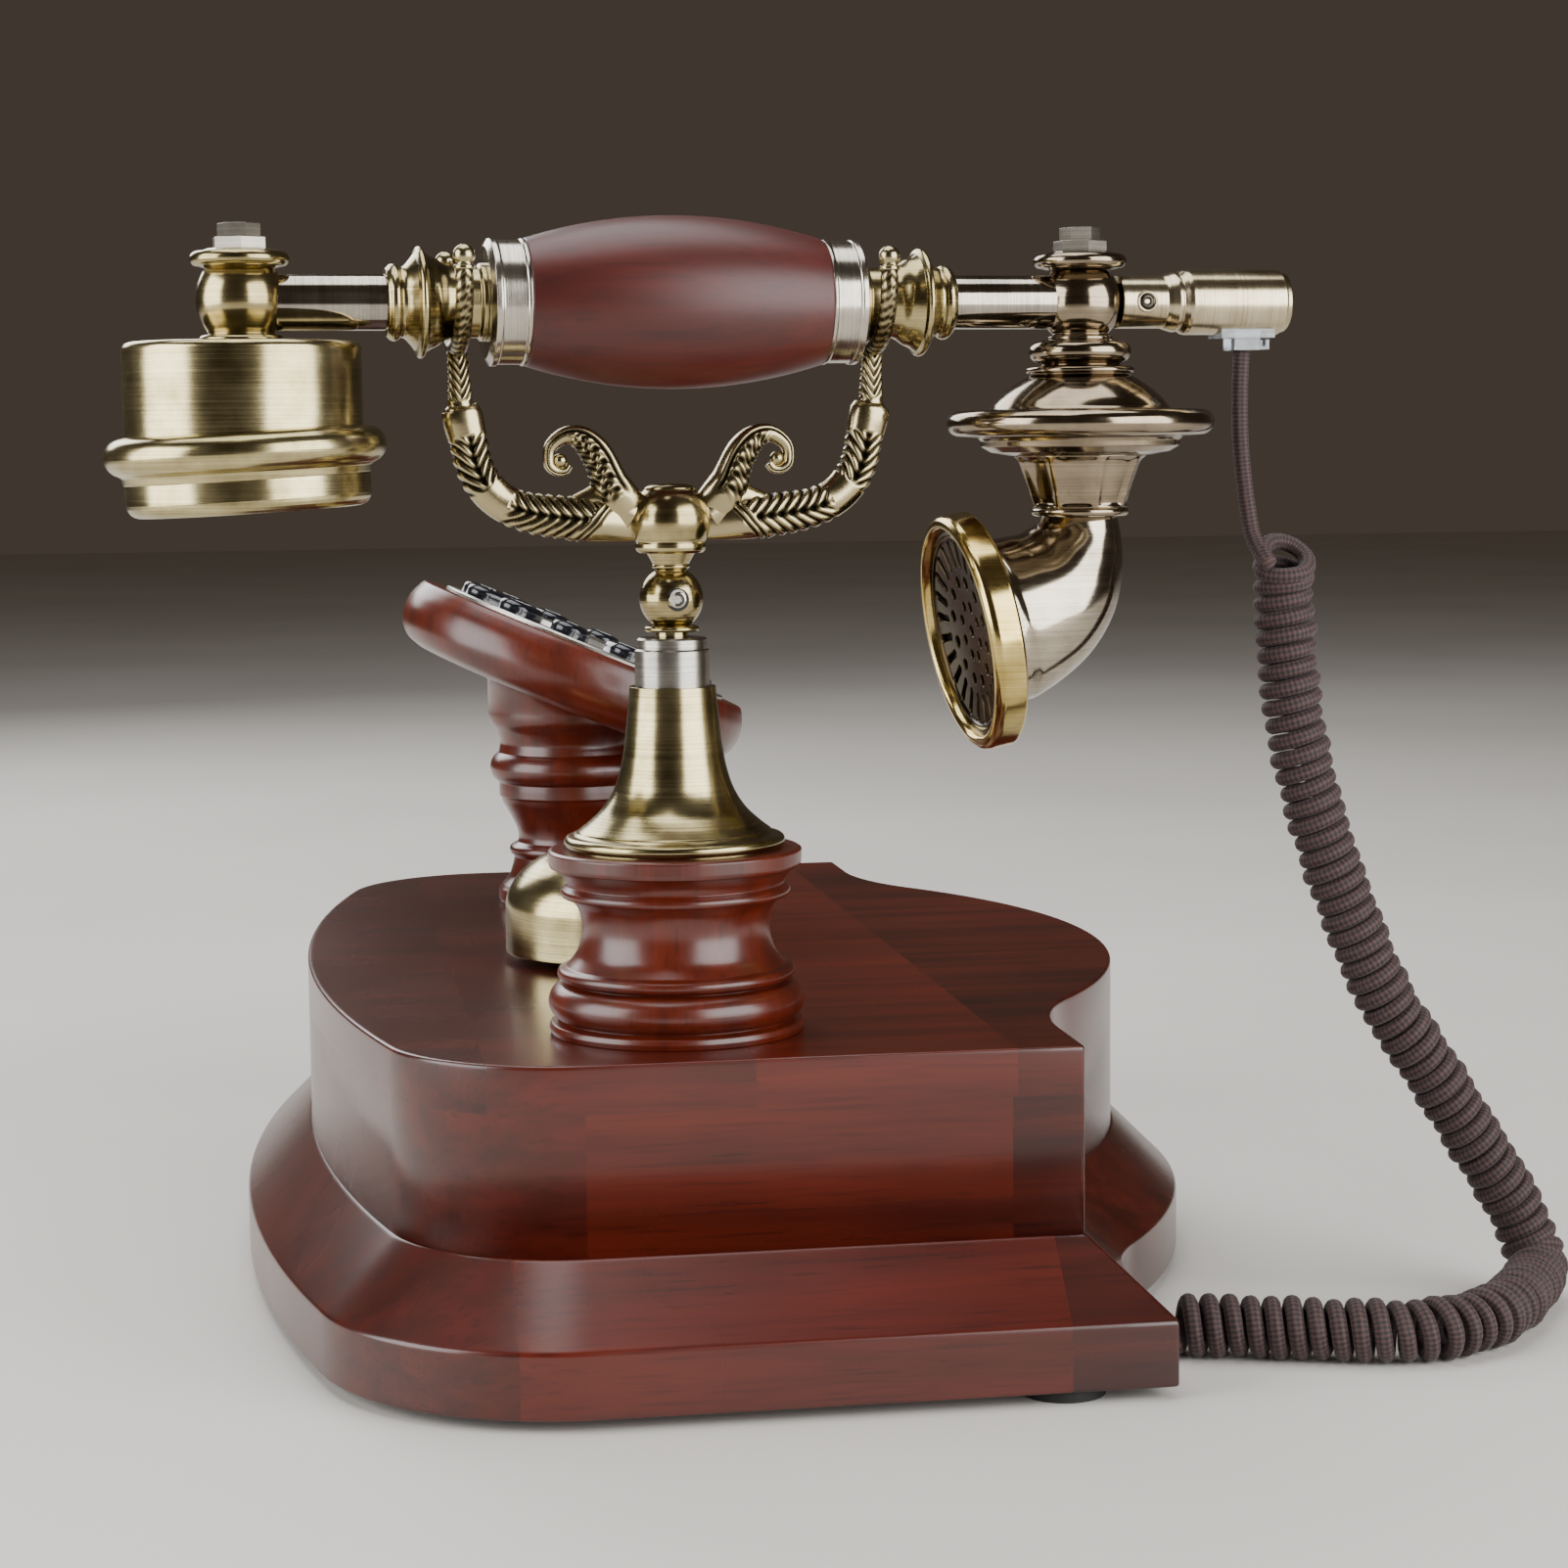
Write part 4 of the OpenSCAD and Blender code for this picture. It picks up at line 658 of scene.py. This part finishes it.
# The top rows slide up to the underside of the tilted disc
NECK_H, DISC_LOW = 59, -19.5
high = neck["grid"][..., 2] > case_top + NECK_H
disc_low = inside(DIAL, (0, 0, DISC_LOW))[1]
normal = DIAL[0][:, 2]
slide = disc_low[2] - ((neck["grid"][..., :2] - disc_low[:2]) @ normal[:2]) / normal[2]
neck["grid"][..., 2] = np.where(high, slide - 0.02, neck["grid"][..., 2])
piece("dial_pedestal_turned", [neck], turned_wood, "base", "dial_pedestal")
disc_line = np.vstack([
    [(0, DISC_LOW), (45.5, DISC_LOW)],
    curve([(47.2, -19.3), (51.4, -17.6), (54.4, -14.2), (55.6, -10), (55.2, -5.6), (53.8, -2),
           (52.8, -0.4)], 6),
    [(52, 0), (46.2, 0), (46.1, -1), (44, -1), (44, -11), (0, -11)]])
piece("dial_disc_turned", [turned(disc_line, DIAL, 0.3, 128)], turned_wood, "base", "dial_disc")

KEY_NAMES = [*"123456789", "star", "0", "hash"]
KEY_MARKS = "123456789+0="
KEY_L, KEY_W, KEY_RISE, KEY_RING = 15.5, 11.5, 4.0, 34.0


def key_place(index):
    """The dial's frame turned to one key, with +X pointing out along the dial's radius."""
    turn = turn_about("Z", 90 - (index + 0.5) * 30)
    return inside(DIAL, turn @ np.array([KEY_RING, 0, 0]), turn)


def key_shape(place):
    """A long round-ended bar: each level is a bar outline shrunk by the rim's rounding."""
    t = angles(48)
    ends = (KEY_L - KEY_W) / 2 * np.sign(np.cos(t) + 1e-9)
    low = KEY_RISE - 1.2
    rim = [(2.2 * (1 - np.cos(a)), low + 2.1 * np.sin(a)) for a in np.radians([15, 30, 45, 60, 75])]
    rows = []
    for shrink, z in [(-0.8, -2.5), (-0.8, -1.3), (0, -1.3), (0, low), *rim, (2.6, KEY_RISE + 0.98)]:
        r = KEY_W / 2 - shrink
        rows.append(np.stack([r * np.cos(t) + ends, r * np.sin(t), 0 * t + z], 1))
    return {"grid": put(np.array(rows), place), "cap": True}


def figure(text, place, size, height):
    """A raised figure as a thin mesh, upright as the user reads the dial."""
    letters = bpy.data.curves.new("figure", "FONT")
    letters.body, letters.size, letters.extrude = text, size * MM, 0.12 * MM
    letters.align_x, letters.align_y = "CENTER", "CENTER"
    shape = in_scene("figure", letters)
    bpy.context.view_layer.update()
    mesh = bpy.data.meshes.new_from_object(shape)
    bpy.data.objects.remove(shape)
    mesh.transform(matrix_of(DIAL[0], (place[1] + DIAL[0] @ np.array([0, 0, height])) * MM))
    mesh.materials.clear()
    mesh.materials.append(key_paint)
    return mesh


for index, (name, mark) in enumerate(zip(KEY_NAMES, KEY_MARKS)):
    place = key_place(index)
    piece("key_cap_" + name, [key_shape(place)], key_plastic, "key_" + name, "key_" + name)
    digit = in_scene("key_figure_" + name, figure(mark, place, 7.5, KEY_RISE + 0.95))
    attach(digit, "key_" + name)

# ---- hook and cradle --------------------------------------------------------------------------

hub_z = 123.1
hub_line = np.vstack([
    [(0, -7.7), (7.6, -7.7), (8.3, -7.1), (8.5, -6.4), (8.5, -5.4), (8.3, -5.0)],
    arc((0, 0), 9.7, -30, 41, 18),
    [(6.4, 7.2), (6.2, 7.6)], curve([(6.1, 7.9), (5, 8.5), (3, 8.9), (0, 9.1)], 4)])
hub = turned(hub_line, inside(COLUMN, (0, 0, hub_z)), 0.15, 96)
piece("cradle_hub_ball", [hub], ball_brass, "hook", "cradle_hub")

plunger_z = 104.5
plunger_line = np.vstack([
    [(0, 60), (3.9, 60), (3.9, 96.6), (6.2, 96.6), (6.6, 97), (6.6, 97.5), (6.2, 97.9), (5, 98.2)],
    arc((0, plunger_z), 7.7, -56, 62, 20), [(4.1, plunger_z + 7.1)],
    arc((4.1, plunger_z + 7.7), 0.5, -60, 60, 4),
    curve([(4.4, plunger_z + 8.3), (5, plunger_z + 9.4), (5.9, plunger_z + 11)], 3), [(0, plunger_z + 11)]])
piece("hook_plunger_ball", [turned(plunger_line, COLUMN, 0.15, 96)], ball_brass, "hook", "hook_plunger")
# The cross pin's end faces -X: a groove, the pin's face and its socket
PIN = inside(COLUMN, (-7.4, 0, plunger_z), turn_about("Z", -8) @ turn_about("Y", -90))
pin_line = [(0, -0.4), (2.05, -0.4), (2.05, 0.42), (1.7, 0.6), (0.9, 0.6), (0.9, 0.2), (0, 0.2)]
piece("plunger_pin_face", [turned(pin_line, PIN, 0.1, 48)], satin_nickel, "hook")
socket_line = [(0, 0.1), (0.85, 0.1), (0.85, 0.3), (0, 0.3)]
groove_line = [(2.0, -0.6), (2.75, -0.6), (2.75, 0.16), (2.0, 0.2)]
groove = turned(groove_line, PIN, 0.05, 48, ring=True)
piece("plunger_pin_socket", [turned(socket_line, PIN, 0.05, 6), groove], dark_plastic, "hook")

# Lines of (distance from the column, height, half width)
ARM_LINE = [
    (6, 123, 4.5), (13, 123.2, 4.9), (20, 123.7, 5.2), (28.8, 124.6, 5.1), (35.5, 125.9, 4.7),
    (40.8, 128.4, 4.5), (44.6, 132.2, 4.5), (47, 137, 4.5), (48.2, 142.6, 4.6), (49.3, 147.4, 4.9),
    (49.8, 149.8, 4.5),
    (49.9, 150.8, 3), (50, 156, 2.5), (50.3, 161, 2.3), (50.5, 164, 2.1)]
VOLUTE_LINE = [
    (8.5, 124.4, 4.6), (12.2, 128.4, 5), (14.4, 131.8, 4.7), (15.6, 135, 4.1), (16.9, 138, 3.8),
    (18.5, 140.4, 3.6), (20.4, 142.4, 3.1), (22.6, 143.5, 2.6), (24.9, 143.6, 2.1), (27.2, 142.4, 1.8),
    (28.8, 140.6, 1.55),
    (29.2, 138.4, 1.4), (28.9, 136.4, 1.3), (27.3, 135.2, 1.2), (25.4, 135.3, 1.15), (24.4, 136.5, 1.1)]
WEB_LINE = [(9, 124.5, 5), (13, 127, 5), (17, 128.6, 3.8), (20.4, 128.4, 2.4), (24, 127.6, 1.4)]


def band(far, start, end, soft=1.2):
    """1 between two distances along a limb, with soft ends."""
    return np.clip((far - start) / soft, 0, 1) * np.clip((end - far) / soft, 0, 1)


def ridge(away, width):
    """1 on a line and nothing far from it."""
    return np.exp(-(away / width) ** 2)


def leaf_relief(sign):
    """Two leaves, one beyond the other: feathers 2.7 mm apart slant out from a fine midrib towards
    the leaf's tip, and a double line edges the first leaf where the plain root of the arm ends."""
    def relief(far, angle):
        across = 4.6 * np.cos(angle) * sign
        aside = np.abs(across)
        ribs = np.abs(np.cos(np.pi * (far - 1.05 * aside) / 2.7)) ** 0.75
        past = far - 14 + 0.9 * across
        leaf = np.clip(past / 0.8, 0, 1) * np.clip((34 - far) / 1.5, 0, 1)
        leaf = np.maximum(leaf, band(far, 40, 53.5))
        midrib = ridge(aside, 0.45) * leaf
        lines = ridge(past + 0.4, 0.42) + ridge(past + 2, 0.42)
        beside = ridge(past + 1.2, 0.4) + ridge(past + 2.9, 0.4)
        shaft = band(far, 61, 90)
        knots = np.abs(np.cos(np.pi * (far - 0.9 * aside) / 2.2)) ** 0.8
        height = leaf * (ribs - 0.85) * 0.75 - 0.3 * midrib + 0.4 * lines - 0.2 * beside
        # Painted shade: darker between the feathers, along the sunken midrib and beside the edging lines; the
        # next line also darkens between the shaft's knots.
        shade = 1 - 1.1 * leaf * (1 - ribs) ** 1.3 - 0.8 * midrib - 0.75 * beside
        return height + shaft * (0.5 * knots - 0.2), np.clip(shade - 0.8 * shaft * (1 - knots), 0, 1)
    return relief


def scroll_relief(sign):
    """A band that turns over: a smooth raised rim outside, a groove beside it, and small beads on
    the stem's inner half."""
    def relief(far, angle):
        outer = np.cos(angle) * sign
        groove = ridge(outer - 0.42, 0.13) * band(far, 5, 90, 3)
        beads = 0.5 + 0.5 * np.sin(2.6 * far + 1.5 * np.sin(5 * angle)) * np.sin(6 * angle + 0.9 * far)
        rough = band(far, 5, 27, 3) * np.clip((0.3 - outer) / 0.2, 0, 1)
        height = 0.6 * rough * (beads - 0.5) - 0.45 * groove
        # The second value is painted shade, darker in the groove and between the beads.
        return height, np.clip(1 - 0.95 * groove - 0.9 * rough * (1 - beads), 0, 1)
    return relief


def prong_relief(far, angle):
    """Small leaves that overlap along the fork's rod, 2.2 mm apart."""
    leaf = np.abs(np.cos(np.pi * (far - 1.6 * np.abs(np.sin(angle))) / 2.2)) ** 0.8
    # The second value is painted shade, darkest between the leaves.
    return 0.22 * leaf - 0.12, np.clip(0.1 + 0.8 * leaf, 0, 1)


def arm_path(line, sign, steps):
    """One of the lines above on one side of the column, as points and half widths."""
    q = curve(line, steps)
    return np.stack([0 * q[:, 0], sign * q[:, 0], q[:, 1]], 1), q[:, 2]


FORK_AT = 50.5      # from the column's axis
FORK_HALF = 15.5    # from the fork's middle to each prong
FORK_LOW = 179.4    # where the prongs turn straight


def cradle_arm(name, sign, node):
    """One arm: leaf-carved limb, scroll with its eye, and a fork of two roped prongs with ball tips."""
    limb, size = arm_path(ARM_LINE, sign, 26)
    # The root is flatter, so that the hub stands out in front of it
    depth = 0.82 - 0.4 * np.clip((17 - sign * limb[:, 1]) / 8, 0, 1)
    parts = [swept(limb, size, depth * size, (1, 0, 0), 72, 0.9, COLUMN, leaf_relief(sign))]
    scroll, width = arm_path(VOLUTE_LINE, sign, 14)
    depth = 0.85 - 0.35 * np.clip((14 - sign * scroll[:, 1]) / 5, 0, 1)
    scroll_depth = depth * width + 0.6
    parts.append(swept(scroll, width, scroll_depth, (1, 0, 0), 64, 0.85, COLUMN, scroll_relief(sign)))
    web, width = arm_path(WEB_LINE, sign, 8)
    parts.append(swept(web, width, 0.5 * width + 0.8, (1, 0, 0), 32, 1.0, COLUMN))
    parts.append(ball((0, sign * 26.4, 137.6), 1.75, COLUMN, 24))
    t = np.radians(np.linspace(0, 180, 60))
    bend = np.stack([-FORK_HALF * np.cos(t), 0 * t + sign * FORK_AT, FORK_LOW - FORK_HALF * np.sin(t)], 1)
    rise = np.linspace(0, 4.2, 12)[1:, None]
    rod = np.vstack([bend[:1] + rise[::-1] * (0, 0, 1), bend, bend[-1:] + rise * (0, 0, 1)])
    parts.append(swept(rod, 2.05, 2.05, (0, 1, 0), 24, 1.0, COLUMN, prong_relief))
    collar = [(0, -2.2), (2.5, -2.2), (2.5, -1.2), (0, -1.2)]
    for x in (-FORK_HALF, FORK_HALF):
        parts.append(ball((x, sign * FORK_AT, FORK_LOW + 5.4), 2.6, COLUMN, 32))
        parts.append(turned(collar, inside(COLUMN, (x, sign * FORK_AT, FORK_LOW + 4.4)), 0.3, 32))
    return piece(name, parts, cast_brass, "hook", node)


cradle_arm("cradle_arm_ear_carved", 1, "cradle_arm_ear")
cradle_arm("cradle_arm_mouth_carved", -1, "cradle_arm_mouth")

# ---- handset ----------------------------------------------------------------------------------

GRIP_HALF, GRIP_R, GRIP_BELLY = 36, 20.4, 5.5
grip_curve = (GRIP_HALF ** 2 + GRIP_BELLY ** 2) / (2 * GRIP_BELLY)
grip_a = np.degrees(np.arcsin(GRIP_HALF / grip_curve))
belly = arc((GRIP_R - grip_curve, 0), grip_curve, -grip_a, grip_a, 60)
grip_line = np.vstack([[(0, -GRIP_HALF), (14, -GRIP_HALF)], belly, [(14, GRIP_HALF), (0, GRIP_HALF)]])
piece("grip_turned", [turned(grip_line, ALONG, 0.5, 128)], grip_wood, "handset", "grip")


def both_ways(line):
    """The same turned piece towards the mouthpiece and towards the earpiece."""
    return [turned([(r, s * z) for r, z in line], ALONG, 0.2, 96) for s in (1, -1)]


ferrule_line = [
    (0, 36), (14.9, 36), (14.9, 36.7), (14.5, 37.1), (14.5, 42.6), (14.9, 43), (14.9, 44.3), (13, 45.3),
    (0, 45.3)]
piece("ferrule_pair", both_ways(ferrule_line), satin_nickel, "handset", "ferrules")
neck_line = np.vstack([
    [(0, 45.3), (9.1, 45.3), (9.1, 46.4), (8.3, 47)],
    curve([(8.3, 52.6), (8.9, 54.6), (10.2, 56.6), (10.9, 58.1), (11.7, 59.4)], 5),
    arc((12.1, 60.5), 0.9, -60, 70, 6), curve([(11.2, 61.8), (9.6, 63), (8.5, 64)], 4),
    [(8.2, 64.6)], arc((7.4, 66.6), 1.6, -60, 60, 6), [(7.9, 68.4), (6.6, 68.7), (0, 68.7)]])
piece("neck_pair_turned", both_ways(neck_line), ball_brass, "handset", "handset_necks")
bar_line = [(0, 68), (6.5, 68), (6.5, 96.5), (0, 96.5)]
piece("bar_pair_polished", both_ways(bar_line), gunmetal, "handset", "handset_tube")

ear_ball = np.vstack([
    [(0, -9), (9.4, -9), (9.7, -8.2), (9.2, -7.6), (7.7, -7.3)],
    curve([(7.6, -7.1), (8.9, -4.8), (10, -1.8), (10.3, 1), (9.8, 4), (8.7, 6.6), (7.7, 7.9)], 6),
    [(0, 7.9)]])
mouth_ball = np.vstack([[(0, -9), (8, -9), (8, -8.4), (7.2, -8)], arc((0, 0), 10.3, -48, 48, 24), [(0, 7.9)]])
piece("joint_ball_ear", [turned(ear_ball, EAR, 0.2, 96)], ball_brass, "handset", "joint_balls")
piece("joint_ball_mouth", [turned(mouth_ball, MOUTH, 0.2, 96)], gunmetal_turned, "handset", "joint_balls")


def finial(place):
    """A round-edged disc, and two stepped hexagons on top, each turned in six steps."""
    disc = np.vstack([[(0, 7.8), (8.2, 7.8), (9.4, 8.1)], arc((9.7, 9.9), 1.75, -75, 75, 10),
                      [(8.6, 11.8), (7.4, 12.2), (0, 12.3)]])
    low = turned([(0, 12), (6.6, 12), (6.6, 14.8), (0, 14.8)], place, 0.15, 6)
    askew = inside(place, turn=turn_about("Z", 15))
    high = turned([(0, 14.6), (5, 14.6), (5, 18), (0, 18)], askew, 0.15, 6)
    return [turned(disc, place, 0.2, 96)], [low, high]


for end, place in (("ear", EAR), ("mouth", MOUTH)):
    disc, nuts = finial(place)
    piece("finial_disc_" + end, disc, ball_brass if end == "ear" else gunmetal_turned, "handset", "finials")
    nut = piece("finial_nut_" + end, nuts, nut_steel, "handset", "finials")
    nut.data.polygons.foreach_set("use_smooth", np.zeros(len(nut.data.polygons), bool))

drum_line = np.vstack([[(0, -9), (25.4, -9)], arc((25.4, -11), 2, 88, 0, 8), [(27.4, -31.5), (0, -31.5)]])
piece("ear_drum_spun", [turned(drum_line, EAR, 0.2, 128)], drum_brass, "handset", "ear_drum")
BEZEL = inside(EAR, (0, 0, -29.4), turn_about("X", -3))
bezel_line = np.vstack([
    [(21, 0), (27.6, 0), (28.4, -0.2)], arc((28.1, -4.6), 4.4, 80, -72, 18),
    [(28.8, -9.2), (28.4, -11), (21, -11)]])
bezel = turned(bezel_line, BEZEL, 0.2, 128, ring=True)
piece("ear_bezel_ring", [bezel], drum_brass, "handset", "ear_bezel")

CUP_TOP, CUP_LOW = -37.2, -52.2     # below the mouthpiece's joint ball
dome_line = np.vstack([
    [(0, -9), (8.6, -9)], arc((10, -12), 2.6, 70, -80, 12), [(9.6, -15.2), (12.6, -15.7)],
    arc((12.6, -16.5), 0.8, 60, -60, 5), [(12.2, -17.4)],
    curve([(12.5, -17.7), (15, -19.2), (17.8, -21.2), (20.2, -23.4), (21.8, -25.4)], 6),
    [(22.4, -26), (23.6, -26.2)], arc((29.7, -29.3), 3.15, 92, -92, 18),
    [(25.2, -32.8), (24.6, -33.6), (24.4, -35), (22, -36.4), (17.4, CUP_TOP), (0, CUP_TOP)]])
piece("mouth_dome_turned", [turned(dome_line, MOUTH, 0.2, 128)], gunmetal_turned, "handset", "mouth_dome")


def fluted_cup():
    """Eight arched panels on a tapering cup: the radius follows a taper, drawn in between eight ribs."""
    t = angles(192)
    z = np.linspace(0, 1, 40)[:, None]
    rib = np.abs(np.cos(4 * t)) ** 12
    arch = np.clip((0.9 - z - 0.14 * np.cos(4 * t) ** 6) * 12, 0, 1) * np.clip((z - 0.06) * 16, 0, 1)
    panel = (1 - rib) * np.clip(z * 12, 0, 1) * np.clip((1 - z) * 12, 0, 1)
    radius = 16.6 - 5 * z - 0.9 * panel - 0.2 * arch
    grid = np.stack([radius * np.cos(t), radius * np.sin(t), CUP_TOP - 12.8 * z + 0 * t], -1)
    return {"grid": put(grid, MOUTH), "cap": True}


bead_line = np.vstack([[(0, -49.8), (10.6, -49.8)], arc((10.9, -51), 1.1, 80, -80, 8), [(0, CUP_LOW)]])
bead = turned(bead_line, MOUTH, 0.1, 96)
piece("mouth_cup_fluted", [fluted_cup(), bead], gunmetal_turned, "handset", "mouth_cup")

# Rows of (way forward, height, radius, slant in degrees)
ELBOW = [
    (0, 0, 9.2, -90), (0.1, -3.8, 10.6, -77), (1.3, -8.4, 12.8, -64), (3.9, -14, 15.4, -50.5),
    (8.5, -19.1, 17.8, -36), (14.5, -22.9, 19.5, -25), (23.8, -27, 21.6, -10)]


def elbow():
    """The elbow as rings square to a turning direction; the last 4 mm are a collar one step smaller."""
    q = curve(ELBOW, 12)
    a = np.radians(q[:, 3])
    t = angles(96)[None, :, None]
    up = np.stack([0 * a, -np.sin(a), np.cos(a)], 1)
    centre = np.stack([0 * a, q[:, 0], q[:, 1] + CUP_LOW], 1)
    far = np.linalg.norm(q[:, :2] - q[-1, :2], axis=1)
    radius = q[:, 2] - 0.6 * np.clip((4.2 - far) / 0.4, 0, 1) - 0.7 * ridge(far - 4.3, 0.3)
    ring = np.cos(t) * np.array([1, 0, 0]) + np.sin(t) * up[:, None]
    return {"grid": put(centre[:, None] + radius[:, None, None] * ring, MOUTH), "cap": True}


piece("mouth_elbow_pipe", [elbow()], elbow_metal, "handset", "mouth_elbow")
RING = inside(MOUTH, (0, 23.8, -79.2), turn_about("X", -100))
ring_line = [
    (18.6, 0), (28.2, 0), (29.2, 0.8), (29.2, 6.2), (28.9, 7.2), (28, 8), (26.6, 8.2), (25.9, 7.6),
    (25.5, 6.6), (25.2, 4.4), (18.6, 3)]
ring = turned(ring_line, RING, 0.35, 128, ring=True)
piece("mouth_ring_polished", [ring], ring_brass, "handset", "mouth_ring")
DISH_R = 25.3


def grille_dish():
    """A shallow glossy dish with pits for its holes: one in the middle, two rings of round ones and
    slots by the rim."""
    r = np.linspace(0, DISH_R, 150)[:, None]
    t = angles(480)
    pit = 0 * r * t
    for count, reach, size in ((1, 0, 1.3), (8, 6.5, 1.2), (12, 12.5, 1.35)):
        for a in TURN * (np.arange(count) + 0.5) / count:
            gap = np.hypot(r * np.cos(t) - reach * np.cos(a), r * np.sin(t) - reach * np.sin(a))
            pit = np.maximum(pit, np.clip((size + 0.2 - gap) / 0.35, 0, 1))
    for a in TURN * (np.arange(24) + 0.5) / 24:
        along, aside = r * np.cos(t - a), r * np.sin(t - a)
        gap = np.hypot(aside, np.maximum(np.abs(along - 19.3) - 2.6, 0))
        pit = np.maximum(pit, np.clip((0.95 - gap) / 0.3, 0, 1))
    height = 4.3 + 1.7 * (r / DISH_R) ** 2 + 0.5 * ridge(r - 23.6, 0.5) - 1.1 * pit
    # The flat back closes the dish
    r, height = np.vstack([r, [[DISH_R], [0]]]), np.vstack([height, height[[-1, 0]] - 2.2])
    pit = np.vstack([pit, pit[:2] * 0])
    grid = np.stack([r * np.cos(t), r * np.sin(t), height], -1)
    # The pits are painted near black: painted shade where the holes would be.
    return {"grid": put(grid, RING), "relief": np.clip(1 - 1.2 * pit, 0, 1)}


piece("mouth_grille_dish", [grille_dish()], grille_metal, "handset", "mouth_grille")

end_line = np.vstack([
    [(0, 111), (6.4, 111), (6.4, 122.6), (6.7, 123.4), (7.3, 125.4), (7.3, 126.1), (6.9, 126.5),
     (6.9, 126.8), (7.8, 128), (8, 128.8), (8, 152.9), (7.7, 153.3)],
    arc((6.4, 153.9), 1.1, 30, 84, 6), [(0, 155)]])
piece("end_cap_brushed", [turned(end_line, ALONG, 0.15, 96)], end_brass, "handset", "end_cap")
# A cross-head screw in a countersink on the stub's -X side
SCREW = inside(HANDSET, (-6.1, -SPAN - 15.2, 0), turn_about("Y", -90))
screw_line = [(0, -1), (1.9, -1), (1.9, 0.35), (1.5, 0.62), (0.9, 0.7), (0.7, 0.3), (0, 0.2)]
piece("set_screw_head", [turned(screw_line, SCREW, 0.1, 48)], dark_steel, "handset", "set_screw")
rim_line = [(1.9, -0.8), (2.7, -0.8), (2.7, 0.28), (2.3, 0.46), (1.9, 0.3)]
piece("set_screw_rim", [turned(rim_line, SCREW, 0.1, 48, ring=True)], end_brass, "handset")

# ---- floor and light --------------------------------------------------------------------------

floor_mesh = bpy.data.meshes.new("floor")
floor_mesh.from_pydata([(-6, -6, 0), (6, -6, 0), (6, 6, 0), (-6, 6, 0)], [], [(0, 1, 2, 3)])
floor = in_scene("floor", floor_mesh)
floor_paint, tree, shader, place = new_finish("pale_matt_floor")
pale = ramp(tree, noise(tree, place, 3.0), (0.3, "#d3cfc9"), (0.7, "#dbd8d2"))
settle(tree, shader, {"Roughness": 0.75}, {"Base Color": pale})
floor_mesh.materials.append(floor_paint)

world = bpy.data.worlds.new("studio")
bpy.context.scene.world = world
world.use_nodes = True
backdrop = world.node_tree.nodes["Background"]
backdrop.inputs[0].default_value = tint("#6b5f54")
backdrop.inputs[1].default_value = 0.4


def softbox(name, place, target, width, height, power):
    """A soft rectangular light that faces a target."""
    data = bpy.data.lights.new(name, "AREA")
    data.shape, data.size, data.size_y, data.energy = "RECTANGLE", width, height, power
    obj = in_scene(name, data)
    away = unit(np.array(place, float) - np.array(target, float))
    right = unit(np.cross((0, 0, 1), away))
    obj.matrix_world = matrix_of(np.stack([right, np.cross(away, right), away], 1), place)
    obj.visible_camera = False


softbox("softbox_left", (-0.36, 1.28, 0.62), (-0.06, 0.03, 0.62), 1.15, 1.2, 29)
softbox("softbox_right", (-1.05, -0.9, 0.62), (-0.06, 0.0, 0.62), 1.3, 1.2, 33)
softbox("softbox_top", (0.15, 0.1, 1.6), (0, 0, 0.1), 1.3, 1.3, 20)
softbox("softbox_back", (1.3, 0.5, 0.9), (0, 0, 0.1), 0.8, 0.8, 10)
